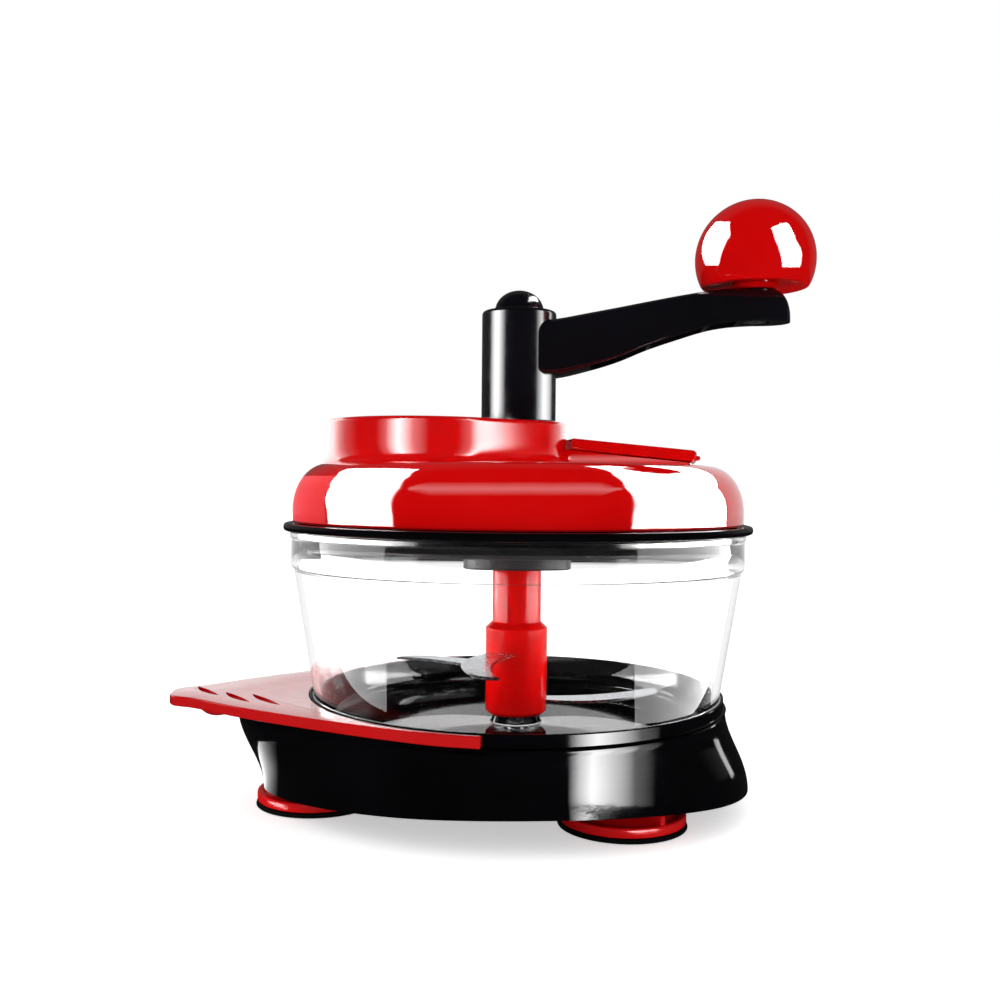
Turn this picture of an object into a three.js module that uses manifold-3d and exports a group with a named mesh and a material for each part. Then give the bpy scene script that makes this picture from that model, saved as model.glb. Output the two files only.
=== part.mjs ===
// A hand cranked food chopper: a clear bowl on a suction base, a geared lid and a crank with a ball knob.
// Millimetres, +Z up. The bowl's axis is the machine's axis, and the palm rest points to -X.
import * as THREE from "three";
import { mergeVertices } from "three/addons/utils/BufferGeometryUtils.js";
import Module from "manifold-3d";

const wasm = await Module();
wasm.setup();

// Clearances
const seatGap = 0.3;
const runGap = 0.4;
const cutOverrun = 1;

// Facets round a circle, by its size
const wideFacets = 28;
const midFacets = 16;
const socketFacets = 12;
const smallFacets = 8;
const hullFacets = 36;
const pathFacets = 16;
const sectorFacets = 6;
const ballFacets = 20;

// Bowl
const bowlRadius = 90;
const bowlHeight = 79.6;
const bowlWall = 2.2;
const bowlFloor = 2.6;
const bowlDraft = 10.5;
const bowlCorner = 6;
const bowlCollarHeight = 14.6;
const bowlCollarStep = 1.2;
const bowlCollarChamfer = 1.3;
const bowlLipOverhang = 0.5;
const bowlLipHeight = 2;
const bowlHubRadius = 9;
const bowlHubHeight = 3.2;
const bowlFootRadius = bowlRadius - bowlCollarStep - bowlDraft;

// Base shell
const baseTop = 44.3;
const baseWall = 2.4;
const skirtSideHeight = 8;
const skirtFrontHeight = 14;
const skirtSideSpread = 14.2;
const skirtFrontInset = 1.3;
const skirtProwSpread = 20.7;
const deckDrop = 4.6;
const deckWidth = 4.8;
const prowLength = 25.9;
const collarWidth = 1.5;
const wellDepth = 16.3;
const wellClearance = 0.8;
const baseRibThickness = 1.8;
const baseRibDepth = 8;
const baseRibCount = 6;
const deckRadius = bowlFootRadius + deckWidth;
const skirtRight = bowlFootRadius + skirtSideSpread;
const skirtFront = bowlFootRadius - skirtFrontInset;
const skirtProw = bowlFootRadius + skirtProwSpread;
const prowReach = deckRadius + prowLength;

// Suction cups and the bosses that hold them
const cupRadius = 23.8;
const cupLipThickness = 1.6;
const cupLipOverhang = 0.6;
const cupLipWidth = 4;
const cupRimHeight = 3.6;
const cupRimWidth = 2.4;
const cupDishDepth = 1.2;
const cupNeckRadius = 8.5;
const cupStemRadius = 4.5;
const cupHeadRadius = 6;
const cupHeadHeight = 2.4;
const cupThickness = 1.8;
const cupFinThickness = 2;
const cupFinLength = 7.5;
const cupFinHeight = 4.5;
const cupBossRadius = 9.5;
const cupBossDrop = 14;
const prowCupInset = 20;
const pairCupShare = 0.662;
const pairCupAngle = 45.5;
const cupFinAngles = [0, -63, 63];
const prowCupReach = skirtProw - prowCupInset;
const pairCupReach = bowlFootRadius * pairCupShare;

// Palm plate
const plateThickness = 4;
const plateOverhang = 27.5;
const plateHornOverhang = 3;
const plateHornAngle = 76;
const plateEdgeRadius = 0.6;
const plateSlotDepth = 1.6;
const plateSlotWidth = 3.4;
const plateSlotLengths = [22, 23.5, 25.5];
const plateSlotAngle = -59;
const plateCatchRadius = 7.5;
const plateCatchInset = 18;
const plateCatchDrop = 5.5;
const plateScrewInset = 5.4;
const plateScrewAngle = 38;
const plateBossRadius = 4.6;
const plateReach = prowReach + plateOverhang;
const plateHornRadius = deckRadius + plateHornOverhang;
const plateCatchReach = plateReach - plateCatchInset;
const plateScrewReach = deckRadius + plateScrewInset;

// Blade unit
const pinRadius = 3;
const pinHeight = 20;
const pinSocketDepth = 4;
const shaftHubRadius = 12.5;
const shaftTubeRadius = 9.8;
const shaftHubHeight = 34.5;
const shaftShoulder = 2.6;
const tongueRadius = 5.4;
const tongueHeight = 10.5;
const bladeTipClearance = 11;
const bladeRootRadius = 5.2;
const bladeWidth = 17;
const bladeThickness = 1.2;
const bladeBevel = 0.9;
const bladeCount = 3;
const bladeFirstHeight = 4.4;
const bladePitch = 10;
const bladeTipRadius = bowlFootRadius - bowlWall - bladeTipClearance;

// Gear cover and its seal
const coverSkirtInset = 6;
const coverSkirtDrop = 5.8;
const coverWall = 2;
const coverPlateThickness = 2.4;
const coverHubRadius = 21.7;
const coverHubDrop = 13.9;
const coverScrewInset = 11;
const coverSkirtRadius = bowlRadius - coverSkirtInset;
const coverScrewRadius = coverSkirtRadius - coverScrewInset;
const sealHeight = 3;
const screwRadius = 1.5;
const screwHeadRadius = 3;
const screwHeadHeight = 1.8;
const screwLength = 9;
const screwPostRadius = 3.6;
const coverScrewAngles = [55, 125, 235, 305];

// Lid
const rimOverhang = 3;
const rimThickness = 3;
const lidInset = 0.6;
const lidShoulderWidth = 13.4;
const lidWallHeight = 5;
const lidHeight = 22.8;
const lidCrown = 1.2;
const lidWall = 2.4;
const bossHeight = 16.2;
const bossSmallRadius = 19.6;
const bossLargeRadius = 38.5;
const bossFlare = 4;
const bossEdge = 1.5;
const rimRadius = bowlRadius + rimOverhang;
const rimInnerRadius = coverSkirtRadius + runGap;
const lidRadius = bowlRadius - lidInset;
const lidShoulderRadius = lidRadius - lidShoulderWidth;

// Gear train
const gearModule = 2;
const wheelTeeth = 27;
const pinionTeeth = 11;
const pressureAngle = 25;
const gearBacklash = 0.16;
const gearWidth = 6.5;
const gearLevelGap = 1.4;
const crankHubRadius = 8;
const hexRadius = 4.4;
const crankBushWall = 1.8;
const crankBushFlange = 1.2;
const layshaftRadius = 2.5;
const layshaftBossRadius = 6;
const driveSleeveRadius = 8.6;
const driveSleeveBottom = 1;
const driveDrumRadius = 19.8;
const wheelWindowCount = 5;

// Feed port and its cover
const portInnerRadius = 33.5;
const portShoulderInset = 12.5;
const portHalfAngle = 17;
const portWall = 1.8;
const feedCoverInnerRadius = 22;
const feedCoverShoulderInset = 5;
const feedCoverHalfAngle = 24;
const feedCoverThickness = 4.4;
const feedCoverPlugDepth = 6;
const feedCoverTabReach = 3.5;
const feedCoverTabWidth = 22;
const portSeatInner = 6.2;
const portSeatOuter = 0.7;
const portCollarInset = 1;
const portOuterRadius = lidShoulderRadius - portShoulderInset;
const feedCoverOuterRadius = lidShoulderRadius - feedCoverShoulderInset;

// Crank
const crankRestAngle = -10;
const postRadius = 15;
const postHeight = 44.4;
const postEdge = 1.5;
const capRadius = 9.8;
const capHeight = 8.2;
const capPlugRadius = 7.6;
const capPlugDepth = 4;
const crankReach = 93.5;
const armRootWidth = 25;
const armTipWidth = 20;
const armWall = 2.4;
const armTipRise = 39.6;
const armRootHeight = 21.6;
const armRootBottom = 18.6;
const armTipHeight = 11.6;
const armTipOverhang = 13.8;
const armBossRadius = 8.3;
const armBossHeight = 0.8;
const spindleTopMargin = 12;
const crankScrewRadius = 2;
const crankScrewHeadRadius = 5.5;
const crankScrewHeadHeight = 2;

// Knob
const knobRadius = 23.5;
const knobHeight = 34.4;
const knobEdge = 1.2;
const knobDish = 1.4;
const knobBoreRadius = 8.2;
const knobBoreDepth = 22;
const knobCollarRadius = 9;
const knobCollarHeight = 2.6;
const knobSleeveLength = 15;
const knobPinRadius = 3;
const knobPinHeadRadius = 5.5;
const knobPinHeadHeight = 2;
const knobPinTail = 1.4;

// Heights above the table, worked out from the sizes above
const deckTop = baseTop - deckDrop;
const wellFloor = baseTop - wellDepth;
const bowlBottom = wellFloor + seatGap;
const bowlTop = bowlBottom + bowlHeight;
const bowlStep = bowlTop - bowlCollarHeight;
const bowlInnerFloor = bowlBottom + bowlFloor;
const hubBottom = bowlInnerFloor + bowlHubHeight + runGap;
const rimBottom = bowlTop + seatGap;
const lidBottom = rimBottom + rimThickness + seatGap;
const lidShoulder = lidBottom + lidHeight;
const bossTop = lidShoulder + lidCrown + bossHeight;
const coverBottom = lidBottom - coverPlateThickness / 2;
const coverTop = coverBottom + coverPlateThickness;
const coverHubBottom = coverTop - coverHubDrop - coverPlateThickness;
const shaftTop = coverHubBottom - runGap;
const coverHubFloor = coverHubBottom + coverWall;
const driveGearBottom = coverTop + gearLevelGap;
const crankGearBottom = driveGearBottom + gearWidth + gearLevelGap;
const crankGearTop = crankGearBottom + gearWidth;
const postBottom = bossTop + seatGap;
const postTop = postBottom + postHeight;
const armTipBottom = postBottom + armTipRise;
const armTipTop = armTipBottom + armTipHeight;
const armBossTop = armTipTop + armBossHeight;
const collarBottom = armBossTop + runGap;
const knobBottom = collarBottom + knobCollarHeight - knobDish;

const centreDistance = (gearModule * (wheelTeeth + pinionTeeth)) / 2;
const degree = Math.PI / 180;

// Shares of the sizes above, for rounded edges and for the curves of the blades
const easedShare = 0.3;
const headRimShare = 0.8;
const tailShare = 0.9;
const flareShares = [0.8, 1.7];
const toothTipShare = 0.92;
const toothRootShare = 1.25;
const sealLipShares = [0.6, 0.8];
const armCornerShares = [0.55, 0.45, 0.25];
const slotBulgeShare = 1.5;
const bladeNeckShare = 0.6;
// The blade's corners and the pulls of its curves: along its reach, and across as shares of half its width.
const bladeBackShares = [0.55, -1.7, 0.93, 1.1];
const bladeTipShares = [0.99, 1.7, 0.95, 2.5];
const bladeEdgeShares = [0.62, 0.35];

// Colours
const red = new THREE.MeshStandardMaterial({ color: 0xc4070a, roughness: 0.18, metalness: 0 });
const softRed = new THREE.MeshStandardMaterial({ color: 0xb00810, roughness: 0.3, metalness: 0 });
const black = new THREE.MeshStandardMaterial({ color: 0x0b0b0e, roughness: 0.2, metalness: 0 });
const rubber = new THREE.MeshStandardMaterial({ color: 0x101012, roughness: 0.7, metalness: 0 });
const darkGrey = new THREE.MeshStandardMaterial({ color: 0x2c2b2d, roughness: 0.45, metalness: 0 });
const gearWhite = new THREE.MeshStandardMaterial({ color: 0xe6e3da, roughness: 0.5, metalness: 0 });
const steel = new THREE.MeshStandardMaterial({ color: 0xc8cacc, roughness: 0.25, metalness: 1 });
const clear = new THREE.MeshPhysicalMaterial({
  color: 0xf4f8fa, roughness: 0.04, metalness: 0, transmission: 0.95, thickness: bowlWall, ior: 1.52,
});

// A three.js geometry as a manifold-3d solid, with its shared vertices merged.
function solid(geometry) {
  const bare = geometry.clone();
  for (const name of Object.keys(bare.attributes)) {
    if (name !== "position") bare.deleteAttribute(name);
  }
  const merged = mergeVertices(bare, 1e-4);
  const vertProperties = new Float32Array(merged.attributes.position.array);
  const triVerts = new Uint32Array(merged.index.array);
  return new wasm.Manifold(new wasm.Mesh({ numProp: 3, vertProperties, triVerts }));
}

// A manifold-3d solid as a three.js geometry.
function geometryOf(body) {
  const mesh = body.getMesh();
  const geometry = new THREE.BufferGeometry();
  geometry.setAttribute("position", new THREE.BufferAttribute(new Float32Array(mesh.vertProperties), 3));
  geometry.setIndex(new THREE.BufferAttribute(new Uint32Array(mesh.triVerts), 1));
  const flat = geometry.toNonIndexed();
  flat.computeVertexNormals();
  return flat;
}

function part(name, body, material, parent) {
  const mesh = new THREE.Mesh(geometryOf(body), material);
  mesh.name = name;
  parent.add(mesh);
  return mesh;
}

function joined(bodies) {
  return bodies.reduce((whole, body) => whole.add(body));
}

// Turns a profile of [radius, height] points, listed with the body on its left, about the Z axis.
function turned(points, facets) {
  const profile = points.map(([radius, height]) => new THREE.Vector2(Math.max(radius, 0), height));
  const closes = profile[0].x > 0 || profile[profile.length - 1].x > 0;
  if (closes) profile.push(profile[0].clone());
  const lathe = new THREE.LatheGeometry(profile, facets);
  lathe.rotateX(Math.PI / 2);
  return solid(lathe);
}

function disc(radius, bottom, top, facets, x = 0, y = 0) {
  const body = turned([[0, bottom], [radius, bottom], [radius, top], [0, top]], facets);
  return body.translate([x, y, 0]);
}

function arcPoints(centreRadius, centreHeight, radius, rise, from, to, steps) {
  return Array.from({ length: steps + 1 }, (_, i) => {
    const angle = (from + ((to - from) * i) / steps) * degree;
    return [centreRadius + radius * Math.cos(angle), centreHeight + rise * Math.sin(angle)];
  });
}

function extruded(shape, bottom, top, curveSegments = 8) {
  const geometry = new THREE.ExtrudeGeometry(shape, {
    depth: top - bottom, bevelEnabled: false, curveSegments,
  });
  geometry.translate(0, 0, bottom);
  return solid(geometry);
}

function bevelled(shape, bottom, top, edge, curveSegments = 8) {
  const geometry = new THREE.ExtrudeGeometry(shape, {
    depth: top - bottom - 2 * edge, bevelThickness: edge, bevelSize: edge, bevelOffset: -edge,
    bevelSegments: 1, curveSegments,
  });
  geometry.translate(0, 0, bottom + edge);
  return solid(geometry);
}

// Skins closed rings of points that all have the same count, from the first ring to the last.
function loft(rings) {
  const count = rings[0].length;
  const vertices = rings.flat();
  const faces = [];
  for (let ring = 0; ring + 1 < rings.length; ring++) {
    for (let i = 0; i < count; i++) {
      const here = ring * count + i;
      const next = ring * count + ((i + 1) % count);
      faces.push(here, next, next + count, here, next + count, here + count);
    }
  }
  const middle = (ring) => ring.reduce((sum, p) => sum.add(p), new THREE.Vector3()).divideScalar(count);
  const first = vertices.push(middle(rings[0])) - 1;
  const last = vertices.push(middle(rings[rings.length - 1])) - 1;
  const top = (rings.length - 1) * count;
  for (let i = 0; i < count; i++) {
    const next = (i + 1) % count;
    faces.push(first, next, i, last, top + i, top + next);
  }
  const geometry = new THREE.BufferGeometry().setFromPoints(vertices);
  geometry.setIndex(faces);
  return solid(geometry);
}

function hexShape(radius) {
  const corners = Array.from({ length: 6 }, (_, i) => {
    const angle = i * 60 * degree;
    return new THREE.Vector2(radius * Math.cos(angle), radius * Math.sin(angle));
  });
  return new THREE.Shape(corners);
}

function polar(radius, angle) {
  return [radius * Math.cos(angle * degree), radius * Math.sin(angle * degree)];
}

// Base

const cupBottom = cupLipThickness + seatGap;
const cupPocketTop = wellFloor - baseWall;
const cupLedge = cupPocketTop - cupHeadHeight - 2 * seatGap;
const cupBossBottom = wellFloor - cupBossDrop;

function cupLip() {
  const inner = cupRadius + cupLipOverhang - cupLipWidth;
  const outer = cupRadius + cupLipOverhang;
  const top = cupLipThickness;
  return turned([[inner, 0], [outer, 0], [cupRadius, top], [inner, top]], midFacets);
}

// The cup: a soft dish with a raised rim, a cone up to its neck, and a stem with a barbed head.
function suctionCup(finAngle) {
  const rimTop = cupBottom + cupRimHeight;
  const rimInner = cupRadius - cupRimWidth;
  const dishTop = rimTop - cupDishDepth;
  const neckTop = cupBossBottom - seatGap;
  const headBottom = cupLedge + seatGap;
  const underside = neckTop - cupThickness - cupRimHeight;
  const body = turned([
    [0, underside], [cupNeckRadius, underside - cupDishDepth],
    [rimInner - cupRimWidth, cupBottom + cupThickness / 2], [rimInner, cupBottom],
    [cupRadius, cupBottom], [cupRadius, rimTop], [rimInner, rimTop],
    [rimInner - cupDishDepth / 2, dishTop],
    [cupNeckRadius + cupRimWidth, neckTop - cupRimHeight / 2], [cupNeckRadius, neckTop],
    [cupStemRadius, neckTop], [cupStemRadius, headBottom],
    [cupHeadRadius, headBottom + cupHeadHeight / 3], [0, headBottom + cupHeadHeight],
  ], midFacets);
  const fin = new THREE.BoxGeometry(cupFinLength, cupFinThickness, cupFinHeight);
  fin.translate(cupRadius - cupFinLength / 2 - cupRimWidth / 4, 0, dishTop + cupFinHeight / 2);
  return body.add(solid(fin).rotate([0, 0, finAngle]));
}

// Half of a closed outline in the plane of the base, from the right end round the back to the prow.
function mirroredCurve(half) {
  const front = half.slice(1, -1).reverse().map(([x, y, z]) => [x, -y, z]);
  const points = [...half, ...front].map((p) => new THREE.Vector3(...p));
  return new THREE.CatmullRomCurve3(points, true, "centripetal");
}

// The deck's round part by angle, then its prow and the skirt as shares of their lengths and half widths.
const deckAngles = [0, 24, 48, 72, 94];
const prowShares = [[0.5, 0.76], [0.77, 0.52], [0.93, 0.33], [1, 0.14], [1, 0]];
const skirtShares = [
  [1, 0], [0.93, 0.42], [0.74, 0.74], [0.4, 0.95], [0, 1],
  [0.42, 0.88], [0.72, 0.62], [0.91, 0.36], [1, 0.14], [1, 0],
];
const skirtTurn = 5;
const hullShares = [0, 0.05, 0.3, 0.65, 1];
const hollowShares = [0, 0.5, 1];

function deckOutline(inset, height) {
  const round = deckAngles.map((angle) => [...polar(deckRadius - inset, angle), height]);
  const prow = prowShares.map(([x, y]) => [-(prowReach - inset) * x, (deckRadius - inset) * y, height]);
  return mirroredCurve([...round, ...prow]);
}

function skirtOutline(inset) {
  const half = skirtShares.map(([x, y], i) => {
    const side = i < skirtTurn ? skirtRight : -skirtProw;
    const height = skirtSideHeight + (skirtFrontHeight - skirtSideHeight) * y * y;
    return [(side - Math.sign(side) * inset) * x, (skirtFront - inset) * y, height];
  });
  return mirroredCurve(half);
}

// The base's outer wall, or its inner one where inset is the wall, as rings from the skirt to the deck.
function baseHull(inset, drop, top) {
  const deck = deckOutline(2 * inset, top).getPoints(hullFacets).slice(0, -1);
  const skirt = skirtOutline(inset).getPoints(hullFacets).slice(0, -1);
  const levels = inset ? hollowShares : hullShares;
  const rings = levels.map((level) => deck.map((up, i) => {
    const down = skirt[i];
    const spread = Math.cos((level * Math.PI) / 2) ** 2;
    const tuck = level === 0 && inset === 0 ? baseWall / 2 / deckRadius : 0;
    const point = up.clone().lerp(down, spread).multiplyScalar(1 - tuck);
    point.z = down.z + (up.z - down.z) * level;
    return point;
  }));
  const dropped = rings[0].map((point) => new THREE.Vector3(point.x, point.y, point.z - drop));
  return loft(drop ? [dropped, ...rings] : rings);
}

// The bowl's outer side below its collar, moved out by a clearance, from the axis up.
function bowlOutside(out) {
  const taper = (bowlRadius - bowlCollarStep - bowlFootRadius) / (bowlStep - bowlBottom - bowlCorner);
  const atHeight = (z) => bowlFootRadius + (z - bowlBottom - bowlCorner) * taper;
  const rise = bowlCorner + Math.min(out, seatGap);
  const corner = arcPoints(
    bowlFootRadius - bowlCorner, bowlBottom + bowlCorner, bowlCorner + out, rise, -90, 0, 2,
  );
  return { corner, atHeight: (z) => atHeight(z) + out };
}

function baseShell() {
  const cavityTop = deckTop - baseWall;
  const out = bowlOutside(wellClearance);
  const overTop = baseTop + cutOverrun;
  const well = turned([
    [0, wellFloor], ...out.corner, [out.atHeight(overTop), overTop], [0, overTop],
  ], wideFacets);
  const wellCase = turned([
    [0, wellFloor - baseWall], [bowlFootRadius - bowlCorner, wellFloor - baseWall],
    [bowlFootRadius + wellClearance + baseWall, wellFloor + bowlCorner],
    [out.atHeight(deckTop) + baseWall, deckTop], [0, deckTop],
  ], wideFacets);
  const collarInner = out.atHeight(baseTop);
  const collarOuter = collarInner + collarWidth;
  const collar = turned([
    [collarInner, deckTop - baseWall / 2], [collarOuter, deckTop - baseWall / 2],
    [collarOuter, baseTop - collarWidth / 2], [collarOuter - collarWidth / 2, baseTop],
    [collarInner, baseTop],
  ], wideFacets);
  const inside = baseHull(baseWall, skirtFrontHeight, cavityTop);
  const cavity = inside.subtract(wellCase);
  let shell = baseHull(0, 0, deckTop).subtract(cavity).subtract(well).add(collar);
  const room = inside.subtract(well);
  for (const [x, y] of cupPlaces()) {
    const boss = disc(cupBossRadius, cupBossBottom, wellFloor - baseWall / 2, midFacets, x, y);
    shell = shell.add(boss.intersect(room)).subtract(cupSocket(x, y));
  }
  for (const [x, y] of plateScrewPlaces()) {
    const boss = disc(plateBossRadius, wellFloor, deckTop - baseWall / 2, midFacets, x, y);
    const hole = screwHole(wellFloor - cutOverrun, deckTop + cutOverrun, x, y);
    shell = shell.add(boss.intersect(room)).subtract(hole);
  }
  return shell.add(baseRibs());
}

function cupPlaces() {
  const pair = [-pairCupAngle, pairCupAngle].map((angle) => polar(pairCupReach, angle));
  return [[-prowCupReach, 0], ...pair];
}

function plateScrewPlaces() {
  return [-plateScrewAngle / 2, plateScrewAngle / 2].map((turn) => polar(plateScrewReach, 180 + turn));
}

// A hole that clears a screw's thread.
function screwHole(bottom, top, x, y) {
  return disc(screwRadius + seatGap, bottom, top, smallFacets, x, y);
}

// The stepped hole that holds a cup's stem and the head above it.
function cupSocket(x, y) {
  const stemBottom = cupBossBottom - cutOverrun;
  const stem = disc(cupStemRadius + seatGap, stemBottom, cupLedge + cutOverrun, socketFacets, x, y);
  return stem.add(disc(cupHeadRadius + seatGap, cupLedge, cupPocketTop, socketFacets, x, y));
}

function baseRibs() {
  const bottom = wellFloor - baseWall - baseRibDepth;
  const top = wellFloor - baseWall / 2;
  const reach = bowlFootRadius - 2 * bowlCorner;
  const hub = disc(cupBossRadius, bottom, top, midFacets);
  const ribs = Array.from({ length: baseRibCount }, (_, i) => {
    const rib = new THREE.BoxGeometry(reach, baseRibThickness, top - bottom);
    rib.translate(reach / 2, 0, (top + bottom) / 2);
    return solid(rib).rotate([0, 0, ((i + 0.5) * 360) / baseRibCount]);
  });
  const sockets = cupPlaces().map(([x, y]) => cupSocket(x, y));
  return joined([hub, ...ribs]).subtract(joined(sockets));
}

// The palm plate's outer edge from its tip to one horn: turned from the tip as a share of the horn's angle,
// and how far out it is as a share of the way from the horn's radius to the tip.
const plateShares = [
  [0.023, 1], [0.047, 0.962], [0.081, 0.804], [0.205, 0.507], [0.38, 0.223],
  [0.66, 0.02], [0.86, 0], [1, 0],
];

function plateShape() {
  const inner = bowlOutside(wellClearance).atHeight(baseTop) + collarWidth + seatGap;
  const edge = plateShares.map(([turn, out]) => {
    const radius = plateHornRadius + (plateReach - plateHornRadius) * out;
    return new THREE.Vector3(...polar(radius, 180 - plateHornAngle * turn), 0);
  });
  const half = new THREE.CatmullRomCurve3(edge, false, "centripetal");
  const points = half.getPoints(pathFacets);
  const arc = Array.from({ length: pathFacets + 1 }, (_, i) => {
    const angle = 180 - plateHornAngle + (2 * plateHornAngle * i) / pathFacets;
    return new THREE.Vector2(...polar(inner, angle));
  });
  const front = points.map((p) => new THREE.Vector2(p.x, -p.y));
  const rear = points.map((p) => new THREE.Vector2(p.x, p.y)).reverse();
  return new THREE.Shape([...front, ...arc.reverse(), ...rear]);
}

// Grip slots: their middles as shares of the plate's reach.
const slotShares = [[0.897, 0.006], [0.799, -0.09], [0.716, -0.127]];

function slotShape(length) {
  const shape = new THREE.Shape();
  shape.moveTo(-length / 2, 0);
  shape.quadraticCurveTo(0, plateSlotWidth / 2, length / 2, 0);
  shape.quadraticCurveTo(0, -plateSlotWidth * slotBulgeShare, -length / 2, 0);
  return shape;
}

function palmPlate() {
  const bottom = deckTop + seatGap;
  const top = bottom + plateThickness;
  let plate = bevelled(plateShape(), bottom, top, plateEdgeRadius);
  const catchHead = new THREE.SphereGeometry(plateCatchRadius, socketFacets, smallFacets);
  catchHead.scale(1, 1, plateCatchDrop / plateCatchRadius);
  catchHead.translate(-plateCatchReach, 0, bottom);
  const belowBottom = bottom - plateCatchDrop - cutOverrun;
  const below = disc(plateReach, belowBottom, bottom + plateThickness / 2, smallFacets);
  plate = plate.add(solid(catchHead).intersect(below));
  slotShares.forEach(([x, y], i) => {
    const slot = extruded(slotShape(plateSlotLengths[i]), top - plateSlotDepth, top + cutOverrun, 4);
    const aimed = slot.rotate([0, 0, plateSlotAngle]);
    plate = plate.subtract(aimed.translate([plateReach * -x, plateReach * y, 0]));
  });
  for (const [x, y] of plateScrewPlaces()) {
    const holeTop = bottom + plateThickness / 2 + seatGap;
    plate = plate.subtract(screwHole(bottom - cutOverrun, holeTop, x, y));
  }
  return plate;
}

// A pan head screw that points up, with its head's top face at the height given.
function screw(seat, length, x, y) {
  const body = turned([
    [0, seat - screwHeadHeight], [screwHeadRadius * headRimShare, seat - screwHeadHeight],
    [screwHeadRadius, seat - screwHeadHeight / 2], [screwHeadRadius, seat],
    [screwRadius, seat], [screwRadius, seat + length - screwRadius], [0, seat + length],
  ], smallFacets);
  return body.translate([x, y, 0]);
}

// Bowl and blade unit

function bowlBody() {
  const out = bowlOutside(0);
  const inner = bowlRadius - bowlCollarStep - bowlWall;
  const cornerRadius = bowlFootRadius - bowlWall - bowlCorner;
  const cornerHeight = bowlInnerFloor + bowlCorner;
  const innerCorner = arcPoints(cornerRadius, cornerHeight, bowlCorner, bowlCorner, 0, -90, 2);
  const socket = pinRadius + seatGap;
  const lipRadius = bowlRadius + bowlLipOverhang;
  const lipBottom = bowlTop - bowlLipHeight;
  const chamferTop = bowlStep + bowlCollarChamfer;
  const hubTop = bowlInnerFloor + bowlHubHeight;
  const socketFloor = hubTop - pinSocketDepth;
  return turned([
    [0, bowlBottom], ...out.corner, [out.atHeight(bowlStep), bowlStep],
    [bowlRadius, chamferTop], [bowlRadius, lipBottom - bowlLipOverhang],
    [lipRadius, lipBottom], [lipRadius, bowlTop],
    [bowlRadius - bowlWall, bowlTop], [bowlRadius - bowlWall, chamferTop], [inner, bowlStep],
    ...innerCorner, [bowlHubRadius + bowlFloor / 2, bowlInnerFloor],
    [bowlHubRadius, hubTop], [socket, hubTop], [socket, socketFloor], [0, socketFloor],
  ], wideFacets);
}

const pinBottom = bowlInnerFloor + bowlHubHeight - pinSocketDepth + seatGap;
const pinTop = pinBottom + pinHeight;

function bladePin() {
  return turned([
    [0, pinBottom], [pinRadius, pinBottom],
    [pinRadius, pinTop - pinRadius / 2], [pinRadius / 2, pinTop], [0, pinTop],
  ], smallFacets);
}

// A sickle blade that lies flat: a straight back near the hub, then a sweep to the tip.
function bladeShape(grow) {
  const half = bladeWidth / 2 + grow;
  const neck = half * bladeNeckShare;
  const scaled = (shares) => shares.map((share, i) => share * (i % 2 ? half : bladeTipRadius));
  const shape = new THREE.Shape();
  shape.moveTo(bladeRootRadius - grow, -neck);
  shape.lineTo(shaftHubRadius, -neck);
  shape.quadraticCurveTo(...scaled(bladeBackShares));
  shape.quadraticCurveTo(...scaled(bladeTipShares));
  shape.quadraticCurveTo(...scaled(bladeEdgeShares), shaftHubRadius, neck);
  shape.lineTo(bladeRootRadius - grow, neck);
  shape.closePath();
  return shape;
}

function bladeHeight(index) {
  return hubBottom + bladeFirstHeight + index * bladePitch;
}

function blade(index) {
  const bottom = bladeHeight(index);
  const third = bladeThickness / 3;
  const geometry = new THREE.ExtrudeGeometry(bladeShape(0), {
    depth: third, bevelThickness: third, bevelSize: bladeBevel, bevelOffset: -bladeBevel,
    bevelSegments: 1, curveSegments: 5,
  });
  geometry.translate(0, 0, bottom + third);
  return solid(geometry).rotate([0, 0, (index * 360) / bladeCount]);
}

function bladeShaft() {
  const hubTop = hubBottom + shaftHubHeight;
  const socket = pinRadius + runGap;
  let shaft = turned([
    [socket, hubBottom], [shaftHubRadius - shaftShoulder / 2, hubBottom],
    [shaftHubRadius, hubBottom + shaftShoulder / 2], [shaftHubRadius, hubTop],
    [shaftTubeRadius, hubTop + shaftShoulder], [shaftTubeRadius, shaftTop],
    [0, shaftTop], [0, pinTop + runGap], [socket, pinTop + runGap],
  ], midFacets);
  const tongueTop = shaftTop + tongueHeight;
  shaft = shaft.add(extruded(hexShape(tongueRadius), shaftTop - shaftShoulder, tongueTop));
  for (let i = 0; i < bladeCount; i++) {
    const slotTop = bladeHeight(i) + bladeThickness + seatGap;
    const slot = extruded(bladeShape(seatGap), bladeHeight(i) - seatGap, slotTop, 5);
    shaft = shaft.subtract(slot.rotate([0, 0, (i * 360) / bladeCount]));
  }
  return shaft;
}

// Gears

function involutePoint(baseRadius, radius) {
  const roll = Math.sqrt(Math.max((radius * radius) / (baseRadius * baseRadius) - 1, 0));
  return roll - Math.atan(roll);
}

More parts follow.
